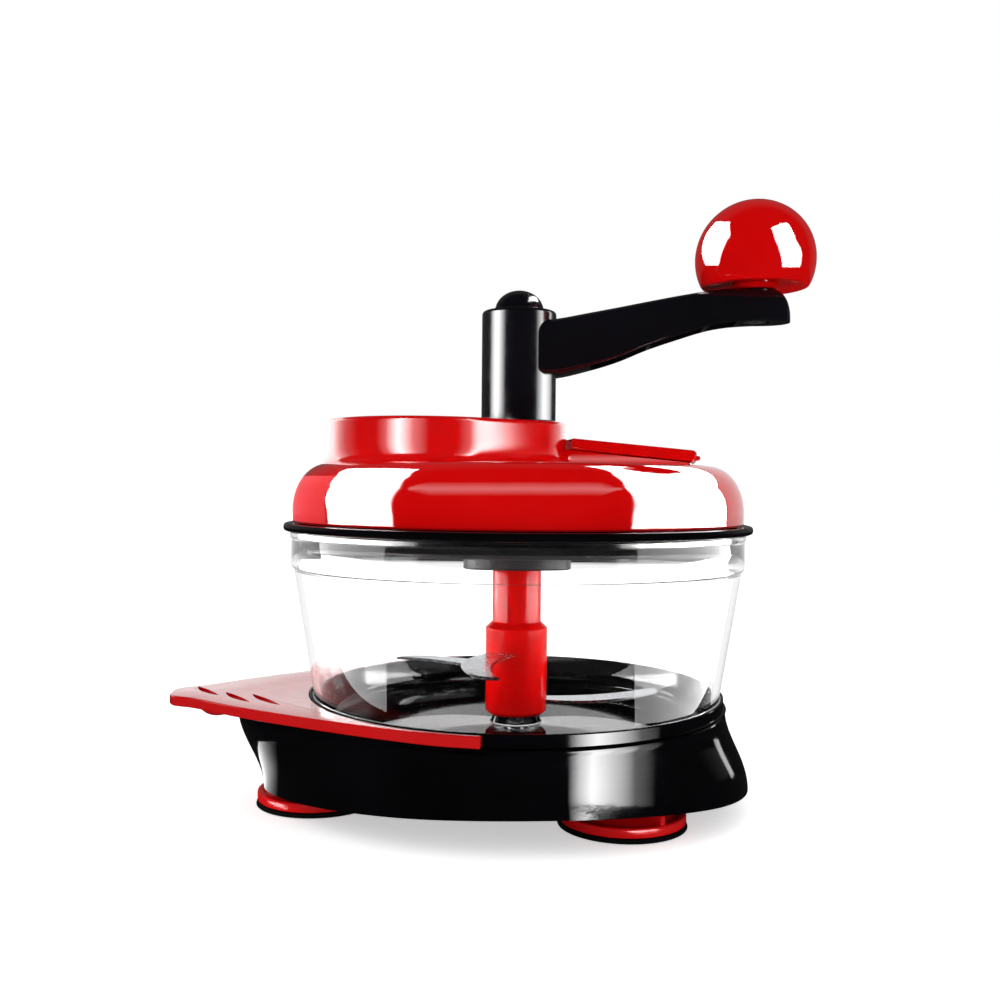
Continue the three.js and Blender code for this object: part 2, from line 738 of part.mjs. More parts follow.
// A spur gear's outline, with a tooth on +X. With odd counts of teeth, each gear then has a space on -X,
// so wheels and pinions side by side along X mesh as they are.
function gearShape(teeth) {
  const pitchRadius = (gearModule * teeth) / 2;
  const baseRadius = pitchRadius * Math.cos(pressureAngle * degree);
  const tipRadius = pitchRadius + gearModule * toothTipShare;
  const rootRadius = pitchRadius - gearModule * toothRootShare;
  const halfTooth = Math.PI / (2 * teeth) - gearBacklash / pitchRadius;
  const atPitch = involutePoint(baseRadius, pitchRadius);
  const start = Math.max(baseRadius, rootRadius);
  const flank = [start, tipRadius].map((radius) => {
    return [radius, halfTooth + atPitch - involutePoint(baseRadius, radius)];
  });
  const side = [[rootRadius, flank[0][1] + (start - rootRadius) / (3 * rootRadius)], ...flank];
  const points = [];
  for (let i = 0; i < teeth; i++) {
    const middle = (i * 2 * Math.PI) / teeth;
    const rising = side.map(([radius, angle]) => [radius, middle - angle]);
    const falling = side.map(([radius, angle]) => [radius, middle + angle]).reverse();
    for (const [radius, angle] of [...rising, ...falling]) {
      points.push(new THREE.Vector2(radius * Math.cos(angle), radius * Math.sin(angle)));
    }
  }
  return new THREE.Shape(points);
}

// The wheel that the crank turns, with its round hub up through the lid and a six sided bore.
function crankGear() {
  const wheel = extruded(gearShape(wheelTeeth), crankGearBottom, crankGearTop);
  const hub = disc(crankHubRadius, crankGearBottom, bossTop - seatGap, midFacets);
  const boreBottom = crankGearBottom - cutOverrun;
  const bore = extruded(hexShape(hexRadius + seatGap), boreBottom, bossTop + cutOverrun);
  return wheel.subtract(wheelWindows(crankGearBottom, crankGearTop)).add(hub).subtract(bore);
}

// Round lightening holes in a wheel's web.
function wheelWindows(bottom, top) {
  const wheelRadius = (gearModule * wheelTeeth) / 2;
  const middle = (crankHubRadius + wheelRadius) / 2 + gearModule / 2;
  const radius = (wheelRadius - crankHubRadius) / 2 - gearModule * 2;
  return joined(Array.from({ length: wheelWindowCount }, (_, i) => {
    const [x, y] = polar(middle, (i * 360) / wheelWindowCount);
    return disc(radius, bottom - cutOverrun, top + cutOverrun, smallFacets, x, y);
  }));
}

// The idler: a pinion that the crank wheel drives, on a wheel that drives the blades.
function idlerGear() {
  const wheelTop = driveGearBottom + gearWidth;
  const wheel = extruded(gearShape(wheelTeeth), driveGearBottom, wheelTop);
  const pinion = extruded(gearShape(pinionTeeth), wheelTop - gearLevelGap, crankGearTop);
  const boss = disc(crankHubRadius + gearModule * 2, driveGearBottom, wheelTop, midFacets);
  const web = wheel.subtract(wheelWindows(driveGearBottom, wheelTop)).add(boss);
  const boreTop = crankGearTop + cutOverrun;
  const bore = disc(layshaftRadius + runGap, driveGearBottom - cutOverrun, boreTop, smallFacets);
  return web.add(pinion).subtract(bore);
}

// The output pinion on a broad drum in the gear cover's hub, with a sleeve down through the hub's floor
// and a six sided socket for the blade shaft.
function drivePinion() {
  const top = driveGearBottom + gearWidth;
  const pinion = extruded(gearShape(pinionTeeth), driveGearBottom, top);
  const sleeveBottom = coverHubBottom + driveSleeveBottom;
  const sleeve = disc(driveSleeveRadius, sleeveBottom, driveGearBottom + cutOverrun, midFacets);
  const drum = disc(driveDrumRadius, coverHubFloor + runGap, coverTop, wideFacets);
  const socketTop = shaftTop + tongueHeight + seatGap + cutOverrun;
  const socket = extruded(hexShape(tongueRadius + seatGap), coverHubBottom - cutOverrun, socketTop);
  return pinion.add(sleeve).add(drum).subtract(socket);
}

// Lid

// A sector of a ring round the machine's axis, on +X.
function sectorShape(innerRadius, outerRadius, halfAngle, out) {
  const spread = (radius) => halfAngle + out / radius / degree;
  const arc = (radius, from, to) => Array.from({ length: sectorFacets + 1 }, (_, i) => {
    return new THREE.Vector2(...polar(radius, from + ((to - from) * i) / sectorFacets));
  });
  const outer = spread(outerRadius + out);
  const inner = spread(innerRadius - out);
  return new THREE.Shape([
    ...arc(outerRadius + out, -outer, outer),
    ...arc(innerRadius - out, inner, -inner),
  ]);
}

// A point on the outline of the gear housing: two circles and the lines that join them.
function housingPoint(angle, out) {
  const turn = Math.acos((bossLargeRadius - bossSmallRadius) / centreDistance);
  const onSmall = Math.abs(angle) < turn;
  const radius = (onSmall ? bossSmallRadius : bossLargeRadius) + out;
  const middle = onSmall ? 0 : -centreDistance;
  return [middle + radius * Math.cos(angle), radius * Math.sin(angle)];
}

function housing(levels) {
  const count = wideFacets;
  return loft(levels.map(([out, z]) => Array.from({ length: count }, (_, i) => {
    const angle = ((i + 0.5) * 2 * Math.PI) / count - Math.PI;
    const [x, y] = housingPoint(angle, out);
    return new THREE.Vector3(x, y, z);
  })));
}

function lidDome(inset) {
  const shoulderRise = lidHeight - lidWallHeight;
  const wallTop = lidBottom + lidWallHeight;
  const reach = lidRadius - lidShoulderRadius - inset;
  const rise = shoulderRise - inset;
  const corner = arcPoints(lidShoulderRadius, wallTop, reach, rise, 0, 90, inset ? 2 : 4);
  const bottom = inset ? lidBottom - cutOverrun : lidBottom;
  return turned([
    [0, bottom], [lidRadius - inset, bottom], ...corner, [0, lidShoulder + lidCrown - inset],
  ], wideFacets);
}

const seatTilt = Math.atan((portSeatInner - portSeatOuter) / (feedCoverOuterRadius - feedCoverInnerRadius));

// A slab whose lower face is the slanted plane that the feed cover lies on.
function aboveSeat(lift) {
  const size = 2 * lidRadius;
  const slab = new THREE.BoxGeometry(size, size, size);
  slab.translate(0, 0, size / 2);
  slab.rotateY(seatTilt);
  slab.translate(feedCoverInnerRadius, 0, lidShoulder + portSeatInner + lift);
  return solid(slab);
}

function portCollar() {
  const inner = feedCoverInnerRadius - bossFlare;
  const outer = feedCoverOuterRadius - portCollarInset;
  const shape = sectorShape(inner, outer, feedCoverHalfAngle, -portCollarInset);
  return extruded(shape, lidShoulder - lidWall, bossTop).subtract(aboveSeat(0));
}

function lidShell() {
  const [low, high] = flareShares;
  const outerLevels = [
    [bossFlare, lidShoulder - lidWall / 2], [bossFlare, lidShoulder + lidCrown],
    [bossFlare * easedShare, lidShoulder + bossFlare * low], [0, lidShoulder + bossFlare * high],
    [0, bossTop - bossEdge], [-bossEdge * easedShare, bossTop - bossEdge * easedShare],
    [-bossEdge, bossTop],
  ];
  const innerLevels = [[-lidWall, lidShoulder - lidWall * 2], [-lidWall, bossTop - lidWall]];
  const outside = joined([lidDome(0), housing(outerLevels), portCollar()]);
  const shell = outside.subtract(lidDome(lidWall).add(housing(innerLevels)));
  const chute = extruded(portShape(portWall), coverBottom + seatGap, lidShoulder);
  return joined([shell, chute, ...lidBosses()]).subtract(joined(lidHoles()));
}

// The outline of the feed port, moved out by a distance.
function portShape(out) {
  return sectorShape(portInnerRadius, portOuterRadius, portHalfAngle, out);
}

// What hangs from the lid's inside: the crank's bearing, the layshaft's boss, a gusset and four screw posts.
function lidBosses() {
  const roof = bossTop - lidWall / 2;
  const bearingBottom = crankGearTop + crankBushFlange + seatGap;
  const bearing = disc(crankBearingRadius() + lidWall, bearingBottom, roof, midFacets);
  const shaftBottom = crankGearTop + gearLevelGap;
  const shaftBoss = disc(layshaftBossRadius, shaftBottom, roof, midFacets, -centreDistance, 0);
  const gussetBottom = shaftBottom + gearLevelGap;
  const gussetHeight = bossTop - lidWall - gussetBottom;
  const gusset = new THREE.BoxGeometry(centreDistance, baseRibThickness, gussetHeight);
  gusset.translate(-centreDistance / 2, 0, gussetBottom + gussetHeight / 2);
  const postRoof = lidShoulder - lidWall / 2;
  const inside = lidDome(lidWall / 2);
  const posts = coverScrewPlaces().map(([x, y]) => {
    return disc(screwPostRadius, coverTop + seatGap, postRoof, smallFacets, x, y).intersect(inside);
  });
  return [bearing, shaftBoss, solid(gusset), ...posts];
}

// The lid's holes: the feed port, the layshaft's and crank's bores, and the screws' pilot holes.
function lidHoles() {
  const port = extruded(portShape(0), coverBottom - cutOverrun, bossTop);
  const shaftHoleTop = layshaftTop() + seatGap;
  const shaftHole = layshaftHole(crankGearTop, shaftHoleTop);
  const bearingBore = disc(crankBearingRadius(), crankGearTop, bossTop + cutOverrun, midFacets);
  const pilotTop = coverBottom + screwLength + seatGap;
  const pilots = coverScrewPlaces().map(([x, y]) => screwHole(coverTop, pilotTop, x, y));
  return [port, shaftHole, bearingBore, ...pilots];
}

function layshaftHole(bottom, top) {
  return disc(layshaftRadius + seatGap, bottom, top, smallFacets, -centreDistance, 0);
}

function crankBearingRadius() {
  return crankHubRadius + runGap + crankBushWall + seatGap;
}

function layshaftTop() {
  return crankGearTop + bossHeight / 2;
}

function coverScrewPlaces() {
  return coverScrewAngles.map((angle) => polar(coverScrewRadius, angle));
}

// The bush that carries the crank wheel's hub in the lid, with a flange above the wheel.
function crankBush() {
  const bore = crankHubRadius + runGap;
  const outer = bore + crankBushWall;
  const flange = outer + crankBushWall;
  const bottom = crankGearTop + seatGap / 2;
  const flangeTop = crankGearTop + crankBushFlange;
  return turned([
    [bore, bottom], [flange, bottom], [flange, flangeTop],
    [outer, flangeTop], [outer, bossTop], [bore, bossTop],
  ], midFacets);
}

function layshaft() {
  const bottom = coverBottom + seatGap + coverPlateThickness / 3;
  return disc(layshaftRadius, bottom, layshaftTop(), smallFacets);
}

// The black ring between the lid and the bowl's rim, thinned to a round edge.
function rimRing() {
  const edge = rimThickness / 2;
  const nose = arcPoints(rimRadius - edge, rimBottom + edge, edge, edge, -60, 60, 2);
  return turned([
    [rimInnerRadius, rimBottom], [rimRadius - edge * 2, rimBottom], ...nose,
    [rimRadius - edge * 2, rimBottom + rimThickness], [rimInnerRadius, rimBottom + rimThickness],
  ], wideFacets);
}

function gearCover() {
  const skirtBottom = rimBottom - coverSkirtDrop;
  const bore = driveSleeveRadius + runGap;
  const drumBore = driveDrumRadius + runGap;
  const cover = turned([
    [bore, coverHubBottom], [coverHubRadius - coverWall / 2, coverHubBottom],
    [coverHubRadius, coverHubBottom + coverWall / 2], [coverHubRadius, coverBottom],
    [coverSkirtRadius - coverWall, coverBottom], [coverSkirtRadius - coverWall, skirtBottom],
    [coverSkirtRadius, skirtBottom], [coverSkirtRadius, coverTop],
    [drumBore, coverTop], [drumBore, coverHubFloor], [bore, coverHubFloor],
  ], wideFacets);
  const seatTop = coverTop + gearLevelGap / 2;
  const seatRadius = layshaftBossRadius - seatGap;
  const seat = disc(seatRadius, coverTop - cutOverrun, seatTop, midFacets, -centreDistance, 0);
  const below = coverBottom - cutOverrun;
  const above = coverTop + cutOverrun;
  const port = extruded(portShape(portWall + seatGap), below, above);
  const shaftHole = layshaftHole(coverBottom + coverPlateThickness / 3, above);
  const holes = coverScrewPlaces().map(([x, y]) => screwHole(below, above, x, y));
  return cover.add(seat).subtract(joined([port, shaftHole, ...holes]));
}

// The seal round the gear cover's skirt: a band with a lip that reaches for the bowl.
function lidSeal() {
  const inner = coverSkirtRadius + seatGap;
  const outer = bowlRadius - bowlWall - seatGap;
  const bottom = rimBottom - coverSkirtDrop + sealHeight / 2;
  const [low, high] = sealLipShares;
  return turned([
    [inner, bottom], [inner + coverWall / 2, bottom], [outer, bottom + sealHeight * low],
    [outer, bottom + sealHeight * high], [inner, bottom + sealHeight],
  ], wideFacets);
}

// The feed cover: a sector plate on the slanted seat, with a plug in the port and a lifting tab at its end.
function feedCover() {
  const outline = sectorShape(feedCoverInnerRadius, feedCoverOuterRadius, feedCoverHalfAngle, 0);
  const edge = feedCoverThickness / 6;
  const plate = bevelled(outline, 0, feedCoverThickness, edge);
  const tab = new THREE.BoxGeometry(2 * feedCoverTabReach, feedCoverTabWidth, feedCoverThickness / 2);
  tab.translate(feedCoverOuterRadius - feedCoverTabReach / 2, 0, (feedCoverThickness * 3) / 4 - edge);
  const levelled = plate.add(solid(tab)).translate([-feedCoverInnerRadius, 0, 0]);
  const seat = [feedCoverInnerRadius, 0, lidShoulder + portSeatInner + seatGap];
  const tilted = levelled.rotate([0, seatTilt / degree, 0]).translate(seat);
  const plugBottom = lidShoulder - feedCoverPlugDepth / 2;
  const plugRoom = aboveSeat(seatGap + feedCoverThickness / 2);
  const plug = extruded(portShape(-runGap), plugBottom, bossTop).subtract(plugRoom);
  const hollow = extruded(portShape(-runGap - portWall), plugBottom - cutOverrun, lidShoulder);
  return tilted.add(plug).subtract(hollow);
}

// Crank and knob

const armEnd = crankReach + armTipOverhang;

// Along the arm: distance from the axis as a share of its length, how far its lower and upper edges have
// risen as shares of their rises, and its width as a share of the way from root to tip.
const armShares = [
  [0.06, 0, 0, 0], [0.14, 0, 0.03, 0.1], [0.26, 0.14, 0.24, 0.3],
  [0.37, 0.31, 0.44, 0.5], [0.48, 0.54, 0.65, 0.7], [0.59, 0.73, 0.85, 0.85],
  [0.7, 0.9, 1.02, 0.95], [0.78, 0.97, 1.1, 1], [0.87, 1, 1.05, 1],
];
// The arm's round end: distance left to the end, height left and width left, as shares.
const armEndShares = [[0.28, 0.93, 0.86], [0.12, 0.78, 0.66], [0.03, 0.55, 0.42]];

function armSections(inset) {
  const rootBottom = postBottom + armRootBottom;
  const rootTop = rootBottom + armRootHeight;
  const sections = armShares.map(([along, low, high, narrow]) => ({
    x: armEnd * along,
    bottom: rootBottom + (armTipBottom - rootBottom) * low,
    top: rootTop + (armTipTop - rootTop) * high - inset,
    half: (armRootWidth + (armTipWidth - armRootWidth) * narrow) / 2 - inset,
  }));
  const ends = armEndShares.map(([left, height, width]) => ({
    x: armEnd - armTipOverhang * left,
    bottom: armTipBottom,
    top: armTipBottom + armTipHeight * height,
    half: (armTipWidth * width) / 2,
  }));
  return inset ? sections : [...sections, ...ends];
}

// A section of the arm across its length: flat below, with round upper corners.
function armRing({ x, bottom, top, half }) {
  const [across, upright, footShare] = armCornerShares;
  const corner = Math.min(half * across, (top - bottom) * upright);
  const foot = corner * footShare;
  const right = [[half - foot, bottom], [half, bottom + foot]];
  const upper = arcPoints(half - corner, top - corner, corner, corner, 0, 90, 3);
  const side = [...right, ...upper];
  const left = side.map(([y, z]) => [-y, z]).reverse();
  return [...side, ...left].map(([y, z]) => new THREE.Vector3(x, y, z));
}

// Each pocket's start, middle and end, counted in the arm's sections and shares of the way to the next.
const pocketShares = [[2, 3, 3.9], [4.1, 5, 5.9], [6.1, 7, 7.4]];

// Pockets in the arm's underside, with a rib left between each two.
function armPockets() {
  const sections = armSections(armWall);
  const at = (place) => {
    const low = Math.floor(place);
    const [a, b] = [sections[low], sections[Math.min(low + 1, sections.length - 1)]];
    const blend = (key) => a[key] + (b[key] - a[key]) * (place - low);
    const bottom = blend("bottom") - cutOverrun;
    return armRing({ x: blend("x"), bottom, top: blend("top"), half: blend("half") });
  };
  return joined(pocketShares.map((places) => loft(places.map(at))));
}

function crankArm() {
  const eased = postEdge * easedShare;
  const post = turned([
    [0, postBottom], [postRadius, postBottom], [postRadius, postTop - postEdge],
    [postRadius - eased, postTop - eased], [postRadius - postEdge, postTop], [0, postTop],
  ], midFacets);
  const arm = loft(armSections(0).map(armRing)).subtract(armPockets());
  const boss = disc(armBossRadius, armTipTop - armTipHeight / 2, armBossTop, midFacets, crankReach, 0);
  return joined([post, arm, boss]).subtract(joined([...postHoles(), ...knobPinHoles()]));
}

// The post's holes from below: the spindle's socket, the screw's hole and the recess for head and cap.
function postHoles() {
  const recessBottom = postTop - capPlugDepth - crankScrewHeadHeight - seatGap;
  const socketTop = spindleTop() + seatGap;
  const socket = extruded(hexShape(hexRadius + seatGap), postBottom - cutOverrun, socketTop);
  const through = disc(crankScrewRadius + seatGap, spindleTop() - cutOverrun, postTop, smallFacets);
  const recess = disc(capPlugRadius + seatGap, recessBottom, postTop + cutOverrun, midFacets);
  return [socket.rotate([0, 0, -crankRestAngle]), through, recess];
}

function knobPinHoles() {
  const below = armTipBottom - cutOverrun;
  const above = armBossTop + cutOverrun;
  const bore = disc(knobPinRadius + seatGap, below, above, smallFacets, crankReach, 0);
  const tailTop = armTipBottom + knobPinTail + seatGap;
  const tail = disc(knobPinHeadRadius + seatGap, below, tailTop, midFacets, crankReach, 0);
  return [bore, tail];
}

function spindleTop() {
  return postTop - spindleTopMargin;
}

function crankSpindle() {
  const bottom = crankGearBottom + seatGap;
  const bar = extruded(hexShape(hexRadius), bottom, spindleTop());
  const threadBottom = spindleTop() - spindleTopMargin;
  const thread = disc(crankScrewRadius + seatGap, threadBottom, spindleTop() + cutOverrun, smallFacets);
  return bar.subtract(thread);
}

function crankScrew() {
  const seat = postTop - capPlugDepth - crankScrewHeadHeight;
  const head = disc(crankScrewHeadRadius, seat, seat + crankScrewHeadHeight - seatGap, smallFacets);
  const tip = spindleTop() - spindleTopMargin + seatGap;
  return head.add(disc(crankScrewRadius, tip, seat + cutOverrun, smallFacets));
}

function crankCap() {
  const bottom = postTop + seatGap;
  const plugBottom = bottom - capPlugDepth;
  const dome = arcPoints(0, bottom, capRadius, capHeight, 0, 90, 5);
  return turned([
    [0, plugBottom], [capPlugRadius, plugBottom], [capPlugRadius, bottom],
    ...dome.slice(0, -1), [0, bottom + capHeight],
  ], midFacets);
}

// The knob: a ball cut flat below, dished under, with a blind bore for its sleeve.
function knobBall() {
  const top = knobBottom + knobHeight;
  const centre = top - knobRadius;
  const cut = Math.asin((knobBottom - centre + knobEdge) / knobRadius) / degree;
  const ball = arcPoints(0, centre, knobRadius, knobRadius, cut, 90, smallFacets);
  const flatRadius = Math.sqrt(knobRadius ** 2 - (centre - knobBottom) ** 2);
  const bore = knobBoreRadius + seatGap;
  const boreTop = knobBottom + knobBoreDepth;
  const dishFloor = knobBottom + knobDish;
  return turned([
    [bore, dishFloor], [knobCollarRadius + 2 * knobEdge, dishFloor],
    [flatRadius - knobEdge * 2, knobBottom], [flatRadius - knobEdge / 2, knobBottom],
    ...ball.slice(0, -1), [0, top], [0, boreTop], [bore, boreTop],
  ], ballFacets);
}

// The knob's sleeve: a flange that shows under the knob, and a tube that turns on the pin.
function knobSleeve() {
  const flangeTop = collarBottom + knobCollarHeight - seatGap;
  const sleeveTop = flangeTop + knobSleeveLength;
  const edge = knobCollarHeight / 4;
  const bore = knobPinRadius + runGap;
  return turned([
    [bore, collarBottom], [knobCollarRadius - edge, collarBottom],
    [knobCollarRadius, collarBottom + edge], [knobCollarRadius, flangeTop],
    [knobBoreRadius, flangeTop], [knobBoreRadius, sleeveTop], [bore, sleeveTop],
  ], midFacets);
}

// The rivet that carries the knob: a head above the sleeve and a tail spread under the arm.
function knobPin() {
  const headBottom = collarBottom + knobCollarHeight + knobSleeveLength;
  const headTop = headBottom + knobPinHeadHeight;
  const tailRadius = knobPinHeadRadius * tailShare;
  const tailBottom = armTipBottom + seatGap / 2;
  const tail = armTipBottom + knobPinTail;
  return turned([
    [0, tailBottom], [tailRadius, tailBottom], [tailRadius, tail],
    [knobPinRadius, tail], [knobPinRadius, headBottom], [knobPinHeadRadius, headBottom],
    [knobPinHeadRadius, headTop], [0, headTop],
  ], smallFacets);
}

// Assembly

function placed(parent, x, y, angle) {
  const group = new THREE.Group();
  group.position.set(x, y, 0);
  group.rotation.z = angle * degree;
  parent.add(group);
  return group;
}

function baseAssembly(parent) {
  part("base_shell", baseShell(), black, parent);
  part("palm_plate", palmPlate(), red, parent);
  const names = ["prow", "front", "rear"];
  cupPlaces().forEach(([x, y], i) => {
    const place = placed(parent, x, y, 0);
    part(`suction_cup_${names[i]}`, suctionCup(cupFinAngles[i]), softRed, place);
    part(`cup_lip_${names[i]}`, cupLip(), rubber, place);
  });
  const seat = wellFloor - seatGap;
  plateScrewPlaces().forEach(([x, y], i) => {
    const body = screw(seat, deckTop + plateThickness / 2 - seat, x, y);
    part(`plate_screw_${i + 1}`, body, steel, parent);
  });
}

function bowlAssembly(parent) {
  part("bowl", bowlBody(), clear, parent);
  part("blade_pin", bladePin(), steel, parent);
  part("blade_shaft", bladeShaft(), red, parent);
  for (let i = 0; i < bladeCount; i++) part(`blade_${i + 1}`, blade(i), steel, parent);
}

function lidAssembly(parent) {
  part("lid_shell", lidShell(), red, parent);
  part("rim_ring", rimRing(), black, parent);
  part("gear_cover", gearCover(), darkGrey, parent);
  part("lid_seal", lidSeal(), rubber, parent);
  part("crank_bush", crankBush(), gearWhite, parent);
  part("feed_cover", feedCover(), red, parent);
  coverScrewPlaces().forEach(([x, y], i) => {
    part(`cover_screw_${i + 1}`, screw(coverBottom - seatGap, screwLength, x, y), steel, parent);
  });
  const idlerPlace = placed(parent, -centreDistance, 0, 0);
  part("layshaft", layshaft(), steel, idlerPlace);
  part("idler_gear", idlerGear(), gearWhite, idlerPlace);
  part("drive_pinion", drivePinion(), gearWhite, parent);
  part("crank_gear", crankGear(), gearWhite, parent);
}

function crankAssembly(parent) {
  const crank = placed(parent, 0, 0, crankRestAngle);
  part("crank_arm", crankArm(), black, crank);
  part("crank_cap", crankCap(), black, crank);
  part("crank_spindle", crankSpindle(), steel, parent);
  part("crank_screw", crankScrew(), steel, crank);
  const knob = placed(crank, crankReach, 0, -crankRestAngle);
  part("knob", knobBall(), red, knob);
  part("knob_sleeve", knobSleeve(), red, knob);
  part("knob_pin", knobPin(), steel, knob);
}

// The frame's origin lies on the table, under the middle of the machine's length.
const [knobX] = polar(crankReach, crankRestAngle);
const machine = new THREE.Group();
machine.position.x = (plateReach - knobX - knobRadius) / 2;
baseAssembly(machine);
bowlAssembly(machine);
lidAssembly(machine);
crankAssembly(machine);

const chopper = new THREE.Group();
chopper.add(machine);
export default chopper;
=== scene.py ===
"""Hand-crank food chopper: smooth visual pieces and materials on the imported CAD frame."""
import math

import bmesh
import bpy
from mathutils import Matrix, Vector
from mathutils.interpolate import poly_3d_calc


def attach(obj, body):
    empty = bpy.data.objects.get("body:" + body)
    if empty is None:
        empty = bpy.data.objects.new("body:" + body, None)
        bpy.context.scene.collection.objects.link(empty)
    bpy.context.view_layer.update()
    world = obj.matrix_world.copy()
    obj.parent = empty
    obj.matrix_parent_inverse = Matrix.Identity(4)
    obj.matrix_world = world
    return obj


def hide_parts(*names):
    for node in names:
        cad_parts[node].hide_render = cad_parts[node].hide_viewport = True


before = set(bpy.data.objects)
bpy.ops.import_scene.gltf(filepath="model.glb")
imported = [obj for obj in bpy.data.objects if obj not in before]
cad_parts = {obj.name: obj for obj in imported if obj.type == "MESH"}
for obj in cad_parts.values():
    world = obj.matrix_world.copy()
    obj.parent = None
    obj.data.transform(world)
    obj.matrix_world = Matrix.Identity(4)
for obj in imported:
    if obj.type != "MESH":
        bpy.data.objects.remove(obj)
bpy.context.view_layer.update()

# Sizes in millimetres from the bowl's axis, as in the part's source.
AXIS_X = 10.46025
SEAT = 0.3
RUN = 0.4

CUP_RADIUS = 23.8
WELL_FLOOR = 28.0
DECK_TOP = 39.7
BASE_TOP = 44.3
DECK_RADIUS = 83.1
PROW_REACH = 109.0
PLATE_REACH = 136.5
HORN_RADIUS = 86.1
HORN_ANGLE = 76
FOOT_RADIUS = 78.3

BOWL_RADIUS = 90
BOWL_BOTTOM = 28.3
BOWL_TOP = 107.9
BOWL_STEP = 93.3
HUB_BOTTOM = 34.5
SHAFT_TOP = 96.0
BLADE_TIP = 65.1

RIM_BOTTOM = 108.2
LID_BOTTOM = 111.5
LID_RADIUS = 89.4
SHOULDER_RADIUS = 76
SHOULDER = 134.3
CROWN = 1.2
LID_WALL = 2.4
BOSS_TOP = 151.7
SMALL_LOBE = 19.6
LARGE_LOBE = 38.5
LOBE_DISTANCE = 38
COVER_TOP = 112.7
COVER_BOTTOM = 110.3
COVER_HUB = 96.4
SKIRT_BOTTOM = 102.4

PORT = (33.5, 63.5, 17)
FEED = (22, 71, 24)
SEAT_INNER = 6.2
SEAT_OUTER = 0.7
SCREW_RADIUS = 73
SCREW_TURNS = (55, 125, 235, 305)

POST_BOTTOM = 152.0
POST_TOP = 196.4
CRANK_REACH = 93.5
CRANK_ANGLE = -10
KNOB_RADIUS = 23.5
KNOB_BOTTOM = 205.6
KNOB_TOP = 240.0


# Mesh helpers: every list of points is in millimetres.


def polar(radius, degrees):
    return radius * math.cos(math.radians(degrees)), radius * math.sin(math.radians(degrees))


def rounded(points, steps=5, closed=True):
    """A polyline whose corners, given as (a, b, radius), are rounded."""
    out = []
    count = len(points)
    for i, point in enumerate(points):
        corner = Vector(point[:2])
        radius = point[2] if len(point) > 2 else 0
        if not radius or (not closed and i in (0, count - 1)):
            out.append(tuple(corner))
            continue
        before = Vector(points[i - 1][:2]) - corner
        after = Vector(points[(i + 1) % count][:2]) - corner
        turn = before.angle(after, math.pi)
        reach = radius / max(math.tan(turn / 2), 1e-3)
        reach = min(reach, before.length * 0.49, after.length * 0.49)
        start = corner + before.normalized() * reach
        end = corner + after.normalized() * reach
        for k in range(steps + 1):
            t = k / steps
            mid = start.lerp(corner, t).lerp(corner.lerp(end, t), t)
            out.append(tuple(mid))
    return out


def arc(cx, cz, radius, rise, start, end, steps):
    turns = [math.radians(start + (end - start) * i / steps) for i in range(steps + 1)]
    return [(cx + radius * math.cos(t), cz + rise * math.sin(t)) for t in turns]


def inset(outline, amount):
    """A closed outline moved inward along its normals; it runs anticlockwise."""
    out = []
    count = len(outline)
    for i in range(count):
        a = Vector(outline[i - 1])
        b = Vector(outline[i])
        c = Vector(outline[(i + 1) % count])
        first = (b - a).normalized()
        second = (c - b).normalized()
        along = (first + second).normalized()
        normal = Vector((-along.y, along.x))
        lean = max(normal.dot(Vector((-first.y, first.x))), 0.5)
        out.append(tuple(b + normal * (amount / lean)))
    return out


def at_height(outline, z):
    return [(x, y, z) for x, y in outline]


def ring(radius, z, angles, x=0, y=0):
    return [(x + radius * math.cos(t), y + radius * math.sin(t), z) for t in angles]


def spread(count):
    return [2 * math.pi * i / count for i in range(count)]


